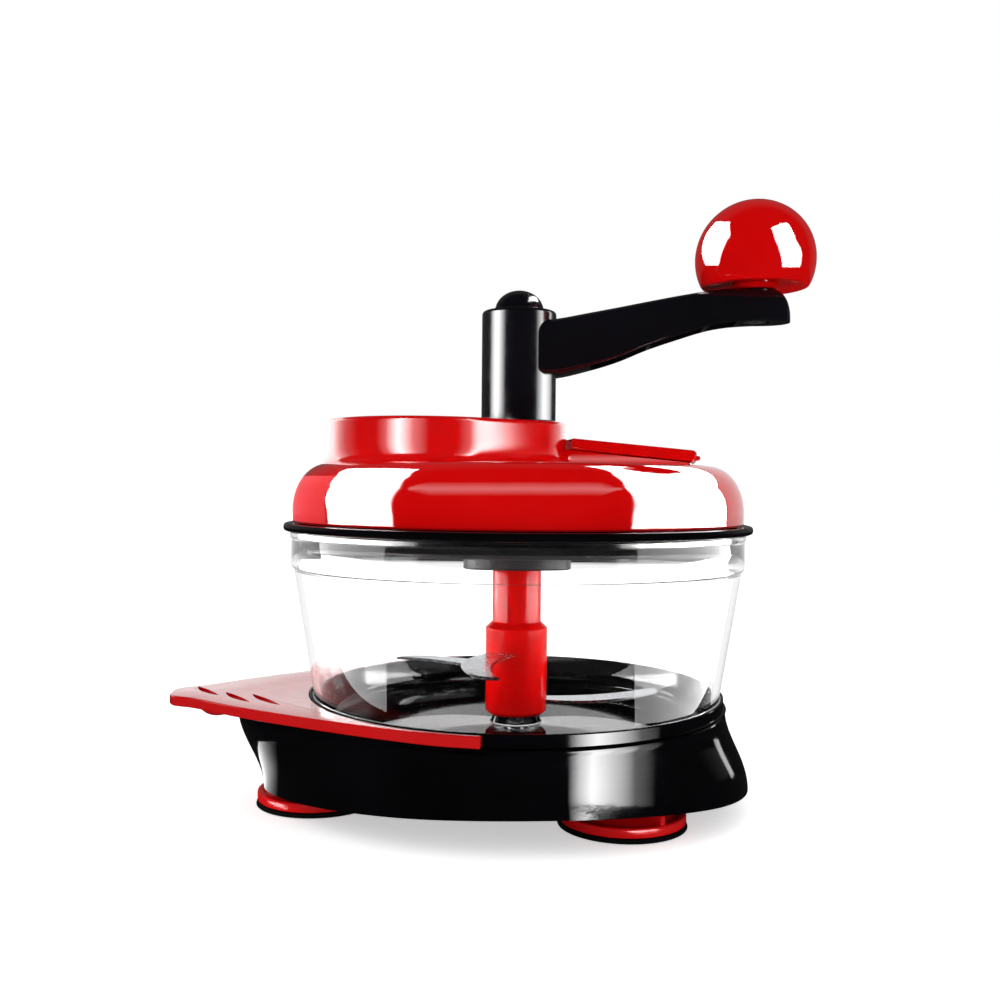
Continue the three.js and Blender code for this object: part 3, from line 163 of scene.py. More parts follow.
class Shape:
    """Vertices and faces that several closed skins are added to, before they become one piece."""

    def __init__(self):
        self.bm = bmesh.new()

    def loft(self, rings, cyclic=False):
        """Skins closed rings that have the same count; one-point rings close an end."""
        levels = [[self.bm.verts.new(p) for p in points] for points in rings]
        pairs = list(zip(levels, levels[1:]))
        if cyclic:
            pairs.append((levels[-1], levels[0]))
        for low, high in pairs:
            count = max(len(low), len(high))
            for i in range(count):
                j = (i + 1) % count
                if len(low) == 1:
                    corners = (low[0], high[j], high[i])
                elif len(high) == 1:
                    corners = (low[i], low[j], high[0])
                else:
                    corners = (low[i], low[j], high[j], high[i])
                self.bm.faces.new(corners)
        if not cyclic:
            for end in (levels[0], levels[-1]):
                if len(end) > 1:
                    self.bm.faces.new(end)
        return self

    def turned(self, profile, x=0, y=0, facets=96):
        """Turns (radius, height) points about an upright axis."""
        angles = spread(facets)
        rings = [
            [(x, y, z)] if radius < 1e-6 else ring(radius, z, angles, x, y)
            for radius, z in profile
        ]
        cyclic = profile[0][0] > 1e-6 and profile[-1][0] > 1e-6
        return self.loft(rings, cyclic)

    def prism(self, outline, bottom, top, edge=0.5, steps=3):
        """An outline pulled up, with rounded edges."""
        turns = [math.pi / 2 * i / steps for i in range(steps + 1)]
        low = [(edge * (1 - math.sin(t)), bottom + edge * (1 - math.cos(t))) for t in turns]
        high = [(edge * (1 - math.cos(t)), top - edge * (1 - math.sin(t))) for t in turns]
        rings = [at_height(inset(outline, amount), z) for amount, z in low + high]
        return self.loft(rings)

    def turn(self, degrees, x=0, y=0):
        """Turns everything so far about an upright axis."""
        spin = Matrix.Rotation(math.radians(degrees), 4, "Z")
        shift = Matrix.Translation((x, y, 0))
        self.bm.transform(shift @ spin @ shift.inverted())
        return self

    def piece(self, name, sharp=32):
        """The shape as an object in metres, smooth except at edges sharper than the angle."""
        bmesh.ops.recalc_face_normals(self.bm, faces=self.bm.faces)
        self.bm.transform(Matrix.Scale(0.001, 4) @ Matrix.Translation((AXIS_X, 0, 0)))
        mesh = bpy.data.meshes.new(name)
        self.bm.to_mesh(mesh)
        self.bm.free()
        piece = bpy.data.objects.new(name, mesh)
        bpy.context.scene.collection.objects.link(piece)
        smooth(piece, sharp)
        return piece


def smooth(piece, sharp):
    mesh = piece.data
    mesh.polygons.foreach_set("use_smooth", [True] * len(mesh.polygons))
    mesh.set_sharp_from_angle(angle=math.radians(sharp))
    mesh.update()


def cut(piece, cutters, sharp=32):
    """Takes other pieces out of a piece, and deletes them."""
    for cutter in cutters:
        modifier = piece.modifiers.new("cut", "BOOLEAN")
        modifier.operation = "DIFFERENCE"
        modifier.solver = "EXACT"
        modifier.object = cutter
    bpy.context.view_layer.update()
    graph = bpy.context.evaluated_depsgraph_get()
    mesh = bpy.data.meshes.new_from_object(piece.evaluated_get(graph))
    piece.modifiers.clear()
    piece.data = mesh
    smooth(piece, sharp)
    for cutter in cutters:
        bpy.data.objects.remove(cutter)
    return piece


def spline(p, t):
    """The point at a share of the way from the second to the third of four points."""
    gaps = [(p[j + 1] - p[j]).length ** 0.5 for j in range(3)]
    first = (p[1] - p[0]) / gaps[0] - (p[2] - p[0]) / (gaps[0] + gaps[1]) + (p[2] - p[1]) / gaps[1]
    last = (p[2] - p[1]) / gaps[1] - (p[3] - p[1]) / (gaps[1] + gaps[2]) + (p[3] - p[2]) / gaps[2]
    first = first * gaps[1]
    last = last * gaps[1]
    return (p[1] + first * t + (3 * (p[2] - p[1]) - 2 * first - last) * t * t
            + (2 * (p[1] - p[2]) + first + last) * t**3)


def closed_curve(points, samples):
    """A smooth curve through a closed list of points."""
    knots = [Vector(p) for p in points]
    count = len(knots)
    out = []
    for k in range(samples):
        place = k / samples * count
        i = int(place)
        out.append(spline([knots[(i + step - 1) % count] for step in range(4)], place - i))
    return out


def open_curve(points, samples):
    """A smooth curve through points that are not a loop."""
    knots = [Vector(p) for p in points]
    knots = [2 * knots[0] - knots[1], *knots, 2 * knots[-1] - knots[-2]]
    count = len(points) - 1
    out = []
    for k in range(samples + 1):
        place = min(k / samples * count, count - 1e-6)
        i = int(place)
        out.append(spline(knots[i:i + 4], place - i))
    return out


# Materials


def material(name):
    made = bpy.data.materials.new(name)
    made.use_nodes = True
    tree = made.node_tree
    return made, tree, tree.nodes["Principled BSDF"]


def noise(tree, scale, detail=3, vector=None):
    node = tree.nodes.new("ShaderNodeTexNoise")
    node.inputs["Scale"].default_value = scale
    node.inputs["Detail"].default_value = detail
    if vector:
        tree.links.new(vector, node.inputs["Vector"])
    return node.outputs["Fac"]


def ramp(tree, factor, low, high, start=0.3, end=0.7):
    """Maps a factor to a number, or a colour as the screen shows it, between low and high."""
    node = tree.nodes.new("ShaderNodeValToRGB")
    node.color_ramp.elements[0].position = start
    node.color_ramp.elements[1].position = end
    for element, value in zip(node.color_ramp.elements, (low, high)):
        element.color = (value, value, value, 1) if isinstance(value, float) else (*linear(value), 1)
    tree.links.new(factor, node.inputs["Fac"])
    return node.outputs["Color"]


def linear(shown):
    """A colour as the screen shows it, from 0 to 255, as the shader takes it."""
    return tuple((c / 255 / 12.92) if c < 10.3 else ((c / 255 + 0.055) / 1.055) ** 2.4 for c in shown)


def add_bump(tree, shader, height, strength, distance):
    node = tree.nodes.new("ShaderNodeBump")
    node.inputs["Strength"].default_value = strength
    node.inputs["Distance"].default_value = distance
    tree.links.new(height, node.inputs["Height"])
    tree.links.new(node.outputs["Normal"], shader.inputs["Normal"])


def moulded(name, low, high, rough, bump=0.04, grain=900, ior=1.5, coat=0.0):
    """Moulded plastic: slight colour drift, roughness in soft patches and a fine skin."""
    made, tree, shader = material(name)
    where = tree.nodes.new("ShaderNodeTexCoord").outputs["Object"]
    tree.links.new(ramp(tree, noise(tree, 28, 4, where), low, high), shader.inputs["Base Color"])
    tree.links.new(ramp(tree, noise(tree, 160, 5, where), *rough), shader.inputs["Roughness"])
    add_bump(tree, shader, noise(tree, grain, 3, where), bump, 0.0002)
    shader.inputs["IOR"].default_value = ior
    shader.inputs["Coat Weight"].default_value = coat
    return made


def brushed(name, low, high, rough, stretch):
    """Ground steel: fine scratches along one direction and soft patches of tone."""
    made, tree, shader = material(name)
    where = tree.nodes.new("ShaderNodeTexCoord").outputs["Object"]
    grain = tree.nodes.new("ShaderNodeMapping")
    grain.inputs["Scale"].default_value = stretch
    tree.links.new(where, grain.inputs["Vector"])
    scratches = noise(tree, 600, 4, grain.outputs["Vector"])
    tree.links.new(ramp(tree, noise(tree, 60, 3, where), low, high), shader.inputs["Base Color"])
    tree.links.new(ramp(tree, scratches, *rough), shader.inputs["Roughness"])
    add_bump(tree, shader, scratches, 0.15, 0.0001)
    shader.inputs["Metallic"].default_value = 1
    return made


def clear_plastic():
    made, tree, shader = material("bowl_clear")
    where = tree.nodes.new("ShaderNodeTexCoord").outputs["Object"]
    tint = ramp(tree, noise(tree, 20, 2, where), (253, 253, 253), (254, 254, 254))
    tree.links.new(tint, shader.inputs["Base Color"])
    tree.links.new(ramp(tree, noise(tree, 90, 3, where), 0.008, 0.02), shader.inputs["Roughness"])
    add_bump(tree, shader, noise(tree, 40, 2, where), 0.02, 0.0002)
    shader.inputs["Transmission Weight"].default_value = 1
    shader.inputs["IOR"].default_value = 1.3
    return made


BOSS_RED = moulded("boss_red_satin", (194, 3, 5), (201, 7, 9), (0.1, 0.14), 0.03, 900)
PLATE_RED = moulded("plate_red", (192, 2, 5), (199, 6, 9), (0.16, 0.24), 0.08, 1100, coat=0.6)
SLOTS = {
    "case_red": moulded("red_gloss", (196, 3, 4), (203, 7, 8), (0.04, 0.07), 0.02, 700),
    # The cups' red is painted lighter than their own colour: painted light against the shadow under the base.
    "cup_red": moulded("cup_red", (236, 10, 16), (244, 14, 20), (0.16, 0.26), 0.06, 500),
    "shaft_red": moulded("shaft_red", (178, 2, 2), (186, 5, 5), (0.1, 0.16), 0.04, 700, 1.22),
    "base_black": moulded("base_gloss_black", (2, 2, 3), (5, 5, 7), (0.05, 0.09), 0.03, 700),
    "crank_black": moulded("crank_black", (8, 8, 12), (13, 12, 17), (0.12, 0.2), 0.05, 900),
    "lip_black": moulded("lip_rubber", (10, 10, 11), (20, 19, 20), (0.5, 0.7), 0.2, 1400, 1.35),
    "cover_grey": moulded("cover_grey", (54, 52, 54), (60, 58, 60), (0.3, 0.42), 0.1, 1300, 1.25),
    "gear_white": moulded("gear_white", (222, 220, 212), (232, 230, 223), (0.35, 0.5), 0.06, 800),
    "steel": brushed("steel", (196, 198, 201), (214, 216, 219), (0.16, 0.3), (1, 1, 9)),
    "bowl_clear": clear_plastic(),
}
PIECES = {}


def fit(piece, body, node, slot, finish=None):
    """Gives a finished piece its material and body, and hides the CAD node that it stands for."""
    piece.data.materials.clear()
    piece.data.materials.append(finish or SLOTS[slot])
    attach(piece, body)
    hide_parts(node)
    PIECES[piece.name] = piece


def turned_piece(profile, name, node, body, slot, sharp=40, x=0, y=0, facets=96):
    """A piece turned about an upright axis."""
    fit(Shape().turned(profile, x, y, facets).piece(name, sharp), body, node, slot)


# Base

FULL = 160
WALL = 2.4
DECK_ANGLES = [0, 24, 48, 72, 94]
PROW = [(0.5, 0.76), (0.77, 0.52), (0.93, 0.33), (1, 0.14), (1, 0)]
SKIRT = [(1, 0), (0.93, 0.42), (0.74, 0.74), (0.4, 0.95), (0, 1),
         (0.42, 0.88), (0.72, 0.62), (0.91, 0.36), (1, 0.14), (1, 0)]
SKIRT_RIGHT = 92.5
SKIRT_PROW = 99.0
SKIRT_FRONT = 77.0
CUPS = {"prow": (-79.0, 0, 0), "front": (36.33, -36.97, -63), "rear": (36.33, 36.97, 63)}


def mirrored(half):
    return half + [(x, -y, z) for x, y, z in reversed(half[1:-1])]


def deck_outline(step, z):
    half = [(*polar(DECK_RADIUS - step, a), z) for a in DECK_ANGLES]
    half += [(-(PROW_REACH - step) * x, (DECK_RADIUS - step) * y, z) for x, y in PROW]
    return closed_curve(mirrored(half), FULL)


def skirt_outline(step):
    half = []
    for i, (x, y) in enumerate(SKIRT):
        side = SKIRT_RIGHT - step if i < 5 else -(SKIRT_PROW - step)
        half.append((side * x, (SKIRT_FRONT - step) * y, 8 + 6 * y * y))
    return closed_curve(mirrored(half), FULL)


def hull(step, top, levels, shift=0):
    """Rings of the base's wall from the skirt up to the deck."""
    deck = deck_outline(2 * step, top)
    skirt = skirt_outline(step)
    rings = []
    for level in levels:
        lean = math.cos(level * math.pi / 2) ** 2
        points = []
        for up, down in zip(deck, skirt):
            flat = up.lerp(down, lean)
            points.append((flat.x, flat.y, down.z + shift + (up.z - shift - down.z) * level))
        rings.append(points)
    return rings


def taper(z, out=0.0):
    """The bowl's outer radius below its step."""
    slope = (BOWL_RADIUS - 1.2 - FOOT_RADIUS) / (BOWL_STEP - BOWL_BOTTOM - 6)
    return FOOT_RADIUS + (z - BOWL_BOTTOM - 6) * slope + out


def base_shell():
    edge = 1.6
    outer = hull(0, DECK_TOP, [0, 0.02, 0.06, 0.12, 0.2, 0.3, 0.4, 0.5, 0.6, 0.7, 0.8, 0.88])
    top = [Vector((p.x, p.y)) for p in deck_outline(0, DECK_TOP)]
    turns = [math.pi / 2 * i / 5 for i in range(6)]
    rim = [at_height(inset([tuple(p) for p in top], edge * (1 - math.cos(t))),
                     DECK_TOP - edge * (1 - math.sin(t))) for t in turns]
    angles = [math.atan2(p.y, p.x) for p in top]
    well = taper(BASE_TOP, 0.8)
    collar = rounded([(well + 2.6, DECK_TOP), (well + 1.5, DECK_TOP, 0.8), (well + 1.5, BASE_TOP, 0.7),
                      (well, BASE_TOP, 0.5), (taper(34.3, 0.8), 34.3)], 4, closed=False)
    corner = arc(FOOT_RADIUS - 6, WELL_FLOOR + 6.3, 6.8, 6.3, 0, -90, 6)
    case = [(0, WELL_FLOOR - WALL), (FOOT_RADIUS - 6, WELL_FLOOR - WALL),
            (FOOT_RADIUS + 0.8 + WALL - 1.5, WELL_FLOOR + 3.5), (taper(DECK_TOP, 3.2), DECK_TOP - WALL)]
    inner = hull(WALL, DECK_TOP - WALL, [0, 0.15, 0.3, 0.5, 0.7, 0.85, 1])
    rings = [[(0, 0, WELL_FLOOR)]]
    rings += [ring(r, z, angles) for r, z in reversed(collar + corner)]
    rings += list(reversed(outer + rim))
    rings += inner
    rings += [ring(r, z, angles) for r, z in reversed(case[1:])]
    rings += [[(0, 0, WELL_FLOOR - WALL)]]
    shape = Shape().loft(rings)
    bottom = WELL_FLOOR - WALL - 8
    shape.turned([(0, bottom), (9.5, bottom), (9.5, WELL_FLOOR - 1), (0, WELL_FLOOR - 1)], facets=48)
    for x, y, _ in CUPS.values():
        shape.turned([(4.8, 14.0), (9.0, 14.0), (9.5, 14.6), (9.5, 26.5), (4.8, 26.5)], x, y, 48)
    for turn in (161, 199):
        x, y = polar(DECK_RADIUS + 5.4, turn)
        shape.turned([(0, WELL_FLOOR), (4.6, WELL_FLOOR), (4.6, DECK_TOP - 1), (0, DECK_TOP - 1)], x, y, 24)
    for i in range(6):
        a = math.radians(60 * i + 30)
        across = Vector((-math.sin(a), math.cos(a))) * 0.9
        start = Vector((math.cos(a), math.sin(a))) * 6
        end = start.normalized() * (FOOT_RADIUS - 13)
        outline = [start - across, end - across, end + across, start + across]
        shape.prism([tuple(p) for p in outline], bottom + 0.4, WELL_FLOOR - 1, 0.3)
    fit(shape.piece("base_body", 40), "base", "base_shell", "base_black")


PLATE_EDGE = [(0.023, 1), (0.047, 0.962), (0.081, 0.804), (0.205, 0.507), (0.38, 0.223),
              (0.66, 0.02), (0.86, 0), (1, 0)]
SLOT_PLACES = [(0.897, 0.006, 22), (0.799, -0.09, 23.5), (0.716, -0.127, 25.5)]
PLATE_BOTTOM = DECK_TOP + SEAT
PLATE_TOP = PLATE_BOTTOM + 4


def plate_outline():
    edge = []
    for turn, out in PLATE_EDGE:
        x, y = polar(HORN_RADIUS + (PLATE_REACH - HORN_RADIUS) * out, 180 - HORN_ANGLE * turn)
        edge.append((x, y))
    rear = [tuple(p) for p in open_curve(edge, 90)]
    front = [(x, -y) for x, y in rear]
    inner = taper(BASE_TOP, 0.8) + 1.5 + SEAT
    steps = 96
    arc_points = [polar(inner, 180 + HORN_ANGLE * (2 * i / steps - 1)) for i in range(steps + 1)]
    return front + list(reversed(arc_points)) + list(reversed(rear))


def palm_plate():
    plate = Shape().prism(plate_outline(), PLATE_BOTTOM, PLATE_TOP, 0.6, 4)
    ball = arc(0, PLATE_BOTTOM, 7.5, 5.5, -90, 0, 14)
    plate.turned([(0, ball[0][1])] + ball[1:] + [(7.5, PLATE_BOTTOM + 1), (0, PLATE_BOTTOM + 1)],
                 -(PLATE_REACH - 18), 0, 64)
    body = plate.piece("palm_rest", 38)
    cutters = []
    for across, along, length in SLOT_PLACES:
        half = length / 2
        rise = 1.7
        upper = [(half - length * t, rise * 2 * t * (1 - t)) for t in [i / 16 for i in range(16)]]
        lower = [(-half + length * t, -rise * 6 * t * (1 - t)) for t in [i / 16 for i in range(16)]]
        slot = Shape().prism(upper + lower, PLATE_TOP - 1.6, PLATE_TOP + 2, 0.4, 3)
        slot.turn(-59)
        slot.bm.transform(Matrix.Translation((-PLATE_REACH * across, PLATE_REACH * along, 0)))
        cutters.append(slot.piece("slot"))
    cut(body, cutters, 38)
    fit(body, "base", "palm_plate", "case_red", PLATE_RED)


def suction_cups():
    bottom = 1.9
    rim_top = bottom + 3.6
    for name, (x, y, fin) in CUPS.items():
        neck = 14.0 - SEAT
        inner = CUP_RADIUS - 2.4
        profile = rounded([
            (0, 8.3), (8.5, 7.1, 2), (inner - 2.4, bottom + 0.9, 1), (inner, bottom, 0.3),
            (CUP_RADIUS, bottom, 0.5), (CUP_RADIUS, rim_top, 0.9), (inner, rim_top, 0.6),
            (inner - 0.6, rim_top - 1.2, 0.5), (10.9, neck - 1.8, 3), (8.5, neck, 0.6), (4.5, neck, 0.3),
            (4.5, 22.9), (6, 22.9, 0.2), (6, 23.7, 0.2), (0, 25.3),
        ], 5, closed=False)
        cup = Shape().turned(profile, x, y, 96)
        dish = rim_top - 1.2
        far = x + CUP_RADIUS - 0.6
        reach = [(far, y - 1), (far, y + 1), (far - 7.5, y + 1), (far - 7.5, y - 1)]
        body = cup.piece(f"cup_{name}", 40)
        rib = Shape().prism(reach, dish, dish + 4.5, 0.4)
        rib.turn(fin, x, y)
        join(body, rib.piece("rib", 40))
        fit(body, "base", f"suction_cup_{name}", "cup_red")
        near, wide = CUP_RADIUS - 3.4, CUP_RADIUS + 0.6
        lip = rounded([(near, 0, 0.3), (wide, 0, 0.3), (CUP_RADIUS, 1.6, 0.5), (near, 1.6, 0.3)], 3)
        turned_piece(lip, f"lip_{name}", f"cup_lip_{name}", "base", "lip_black", x=x, y=y)


def join(piece, other):
    """Adds another piece's mesh to a piece, and deletes the other."""
    bm = bmesh.new()
    bm.from_mesh(piece.data)
    bm.from_mesh(other.data)
    bm.to_mesh(piece.data)
    bm.free()
    bpy.data.objects.remove(other)


# Bowl and blade unit


def bowl():
    radius = BOWL_RADIUS
    step = taper(BOWL_STEP)
    bottom = BOWL_BOTTOM
    floor = bottom + 2.6
    profile = rounded([
        (0, bottom), (FOOT_RADIUS, bottom, 6), (step, BOWL_STEP, 0.6), (radius, BOWL_STEP + 1.3, 0.8),
        (radius, BOWL_TOP - 2.5), (radius + 0.5, BOWL_TOP - 2, 0.3), (radius + 0.5, BOWL_TOP, 0.4),
        (radius - 2.2, BOWL_TOP, 0.6), (radius - 2.2, BOWL_STEP + 1.3, 0.8), (step - 2.2, BOWL_STEP, 0.6),
        (FOOT_RADIUS - 2.2, floor, 6), (10.3, floor, 0.8), (9, floor + 3.2, 0.5), (3.3, floor + 3.2),
        (3.3, floor - 0.8), (0, floor - 0.8),
    ], 8, closed=False)
    turned_piece(profile, "bowl_wall", "bowl", "bowl", "bowl_clear", 50, facets=192)


def blade_outline():
    reach = BLADE_TIP
    half = 8.5
    hub = 12.5
    corners = [
        [(5.2, -half * 0.6), (hub, -half * 0.6)],
        [(hub, -half * 0.6), (reach * 0.55, -half * 1.7), (reach * 0.93, half * 1.1)],
        [(reach * 0.93, half * 1.1), (reach * 0.99, half * 1.7), (reach * 0.95, half * 2.5)],
        [(reach * 0.95, half * 2.5), (reach * 0.62, half * 0.35), (hub, half * 0.6)],
        [(hub, half * 0.6), (5.2, half * 0.6)],
    ]
    points = []
    for curve in corners:
        a, *middle, c = (Vector(p) for p in curve)
        steps = 14 if middle else 2
        for t in (k / steps for k in range(steps)):
            bent = a.lerp(middle[0], t).lerp(middle[0].lerp(c, t), t) if middle else a.lerp(c, t)
            points.append(tuple(bent))
    return points + [(5.2, half * 0.6)]


def blades():
    for i in range(3):
        z = HUB_BOTTOM + 4.4 + 10 * i
        outline = blade_outline()
        shape = Shape()
        shape.loft([
            at_height(inset(outline, 0.9), z), at_height(inset(outline, 0.05), z + 0.5),
            at_height(inset(outline, 0.05), z + 0.62), at_height(inset(outline, 0.9), z + 1.2),
        ])
        shape.turn(120 * i)
        fit(shape.piece(f"blade_edge_{i + 1}", 12), "blades", f"blade_{i + 1}", "steel")


def blade_shaft():
    hub_top = HUB_BOTTOM + 34.5
    profile = rounded([
        (0, SHAFT_TOP), (9.8, SHAFT_TOP, 0.5), (9.8, hub_top + 2.6, 0.6), (12.5, hub_top, 0.6),
        (12.5, HUB_BOTTOM + 1.3, 0.5), (11.2, HUB_BOTTOM, 0.3), (3.4, HUB_BOTTOM, 0.3), (3.4, 51.3),
        (0, 51.3),
    ], 4, closed=False)
    shaft = Shape().turned(profile)
    hexagon = rounded([(*polar(5.4, 60 * k), 0.5) for k in range(6)], 3)
    shaft.prism(hexagon, SHAFT_TOP - 2, SHAFT_TOP + 10.5, 0.5)
    fit(shaft.piece("shaft_tube", 40), "blades", "blade_shaft", "shaft_red")


# Lid

LID_POINTS = 192


def housing_outline(out):
    """The egg-shaped outline of the gear housing, in even steps from +X."""
    turn = math.acos((LARGE_LOBE - SMALL_LOBE) / LOBE_DISTANCE)
    small = SMALL_LOBE + out
    large = LARGE_LOBE + out
    line = math.sqrt(LOBE_DISTANCE**2 - (LARGE_LOBE - SMALL_LOBE) ** 2)
    parts = [turn * small, line, 2 * (math.pi - turn) * large, line, turn * small]
    total = sum(parts)
    points = []
    for k in range(LID_POINTS):
        s = total * k / LID_POINTS
        part = 0
        while part < 4 and s >= parts[part]:
            s -= parts[part]
            part += 1
        if part == 2:
            a = turn + s / large
            points.append((-LOBE_DISTANCE + large * math.cos(a), large * math.sin(a)))
        elif part in (1, 3):
            heading = Vector((math.cos(turn), math.sin(turn) if part == 1 else -math.sin(turn)))
            ends = [heading * small, heading * large + Vector((-LOBE_DISTANCE, 0))]
            start, end = ends if part == 1 else reversed(ends)
            points.append(tuple(start.lerp(end, s / line)))
        else:
            a = s / small if part == 0 else -turn + s / small
            points.append((small * math.cos(a), small * math.sin(a)))
    return points


def dome_height(radius, step):
    """The lid's height at a radius, or that of its inner side."""
    shoulder = SHOULDER_RADIUS
    if radius <= shoulder:
        return SHOULDER + CROWN - step - CROWN * (radius / shoulder) ** 2
    reach = LID_RADIUS - shoulder - step
    t = min((radius - shoulder) / reach, 1)
    return LID_BOTTOM + 5 + (SHOULDER - LID_BOTTOM - 5 - step) * math.sqrt(max(1 - t * t, 0))


def blend_rings(start_radius, outline, shares, step):
    """Rings on the dome from a circle in to the housing's outline."""
    angles = spread(LID_POINTS)
    rings = []
    for share in shares:
        points = []
        for a, (x, y) in zip(angles, outline):
            px = start_radius * math.cos(a) * (1 - share) + x * share
            py = start_radius * math.sin(a) * (1 - share) + y * share
            points.append((px, py, dome_height(math.hypot(px, py), step)))
        rings.append(points)
    return rings


def lid_shell():
    """The lid in two pieces: the dome with its feed port, and the gear housing on top."""
    angles = spread(LID_POINTS)
    wall_top = LID_BOTTOM + 5
    outer = [ring(LID_RADIUS - 0.5, LID_BOTTOM, angles), ring(LID_RADIUS, LID_BOTTOM + 0.5, angles),
             ring(LID_RADIUS, LID_BOTTOM + 0.9, angles)]
    start = 84.5
    stop = math.degrees(math.acos((start - SHOULDER_RADIUS) / (LID_RADIUS - SHOULDER_RADIUS)))
    corner = arc(SHOULDER_RADIUS, wall_top, LID_RADIUS - SHOULDER_RADIUS, SHOULDER - wall_top, 0, stop, 12)
    outer += [ring(r, z, angles) for r, z in corner]
    flare = housing_outline(4)
    shares = [0.02, 0.04, 0.06, 0.08, 0.1, 0.12, 0.15, 0.2, 0.27, 0.38, 0.5, 0.62, 0.74, 0.85, 0.94, 1]
    outer += blend_rings(start, flare, shares, 0)
    inner_start = 82.0
    reach = LID_RADIUS - SHOULDER_RADIUS - LID_WALL
    foot = housing_outline(3.4)
    inner = list(reversed(blend_rings(inner_start, foot, [0.1, 0.3, 0.5, 0.7, 0.85, 1], LID_WALL)))
    inner_stop = math.degrees(math.acos((inner_start - SHOULDER_RADIUS) / reach))
    inner_corner = arc(SHOULDER_RADIUS, wall_top, reach, SHOULDER - wall_top - LID_WALL, inner_stop, 0, 6)
    inner += [ring(r, z, angles) for r, z in inner_corner] + [ring(LID_RADIUS - LID_WALL, LID_BOTTOM, angles)]
    dome = Shape().loft(outer + inner, cyclic=True).piece("lid_dome", 45)
    port = Shape().prism(sector(PORT, 0, 1.2), 100, 160, 0)
    cut(dome, [port.piece("port")], 45)
    join(dome, port_frame())
    fit(dome, "lid", "lid_shell", "case_red")

    skin = [flare_ring(flare, k / 8) for k in range(9)]
    edge = 1.8
    for k in range(6):
        t = math.pi / 2 * k / 5
        outline = housing_outline(-edge * (1 - math.cos(t)))
        skin.append(at_height(outline, BOSS_TOP - edge * (1 - math.sin(t))))
    bore = 10.5
    bearing_bottom = 130.0
    bearing = [(bore, BOSS_TOP), (bore, bearing_bottom), (bore + LID_WALL, bearing_bottom),
               (bore + LID_WALL, BOSS_TOP - LID_WALL)]
    skin += [ring(r, z, angles) for r, z in bearing]
    inside = housing_outline(-LID_WALL)
    skin.append(at_height(inside, BOSS_TOP - LID_WALL))
    skin.append([(x, y, dome_height(math.hypot(x, y), 0) + 1.2) for x, y in inside])
    skin.append([(x, y, dome_height(math.hypot(x, y), LID_WALL)) for x, y in foot])
    housing = Shape().loft(skin, cyclic=True).piece("gear_housing", 45)
    fit(housing, "lid", "lid_shell", "case_red", BOSS_RED)


def flare_ring(flare, share):
    """A ring of the fillet between the dome and the housing's wall."""
    turn = math.pi / 2 * share
    rise = 1 - math.cos(turn)
    outline = housing_outline(4 * (1 - math.sin(turn)))
    points = []
    for (x, y), (fx, fy) in zip(outline, flare):
        foot = dome_height(math.hypot(fx, fy), 0)
        points.append((x, y, foot + (SHOULDER + CROWN + 6.8 - foot) * rise))
    return points


def sector(sizes, out, corner, steps=16):
    """A sector of a ring on +X, with rounded corners, all moved out."""
    inner, outer, half = sizes
    inner -= out
    outer += out
    wide = half + math.degrees(out / outer)
    narrow = half + math.degrees(out / inner)
    far = [polar(outer, -wide + 2 * wide * i / steps) for i in range(steps + 1)]
    near = [polar(inner, narrow - 2 * narrow * i / steps) for i in range(steps + 1)]
    points = [(*p, corner if i in (0, steps) else 0) for i, p in enumerate(far)]
    points += [(*p, corner if i in (0, steps) else 0) for i, p in enumerate(near)]
    return rounded(points, 4)


def seat_height(x):
    return SHOULDER + SEAT_INNER + (SEAT_OUTER - SEAT_INNER) * (x - FEED[0]) / (FEED[1] - FEED[0])


def port_frame():
    """The raised slanted seat round the feed port, and the chute below it."""
    shape = Shape()
    seat = sector((18, 70, 24), -1, 2.5)
    hole = sector(PORT, 0, 1.2)
    foot = sector((18, 70, 24), 0.4, 2.5)
    edge = inset(seat, 0.5)
    shape.loft([
        [(x, y, SHOULDER - 2) for x, y in foot],
        [(x, y, SHOULDER + CROWN + 0.2) for x, y in inset(foot, 0.8)],
        [(x, y, max(seat_height(x) - 0.5, SHOULDER - 1.5)) for x, y in seat],
        [(x, y, max(seat_height(x), SHOULDER - 1)) for x, y in edge],
        [(x, y, seat_height(x)) for x, y in hole],
        [(x, y, SHOULDER - 2) for x, y in hole],
    ], cyclic=True)
    chute = sector(PORT, 1.8, 2)
    shape.loft([
        at_height(chute, COVER_BOTTOM + SEAT), at_height(chute, SHOULDER),
        at_height(hole, SHOULDER), at_height(hole, COVER_BOTTOM + SEAT),
    ], cyclic=True)
    bottom = 129.9
    top = BOSS_TOP - 1.2
    shape.turned([(2.8, bottom), (6, bottom), (6, top), (2.8, top)], -LOBE_DISTANCE, 0, 48)
    for turn in SCREW_TURNS:
        x, y = polar(SCREW_RADIUS, turn)
        shape.turned([(1.8, 113), (3.6, 113), (3.6, SHOULDER - 2), (1.8, SHOULDER - 2)], x, y, 32)
    return shape.piece("port_frame", 40)


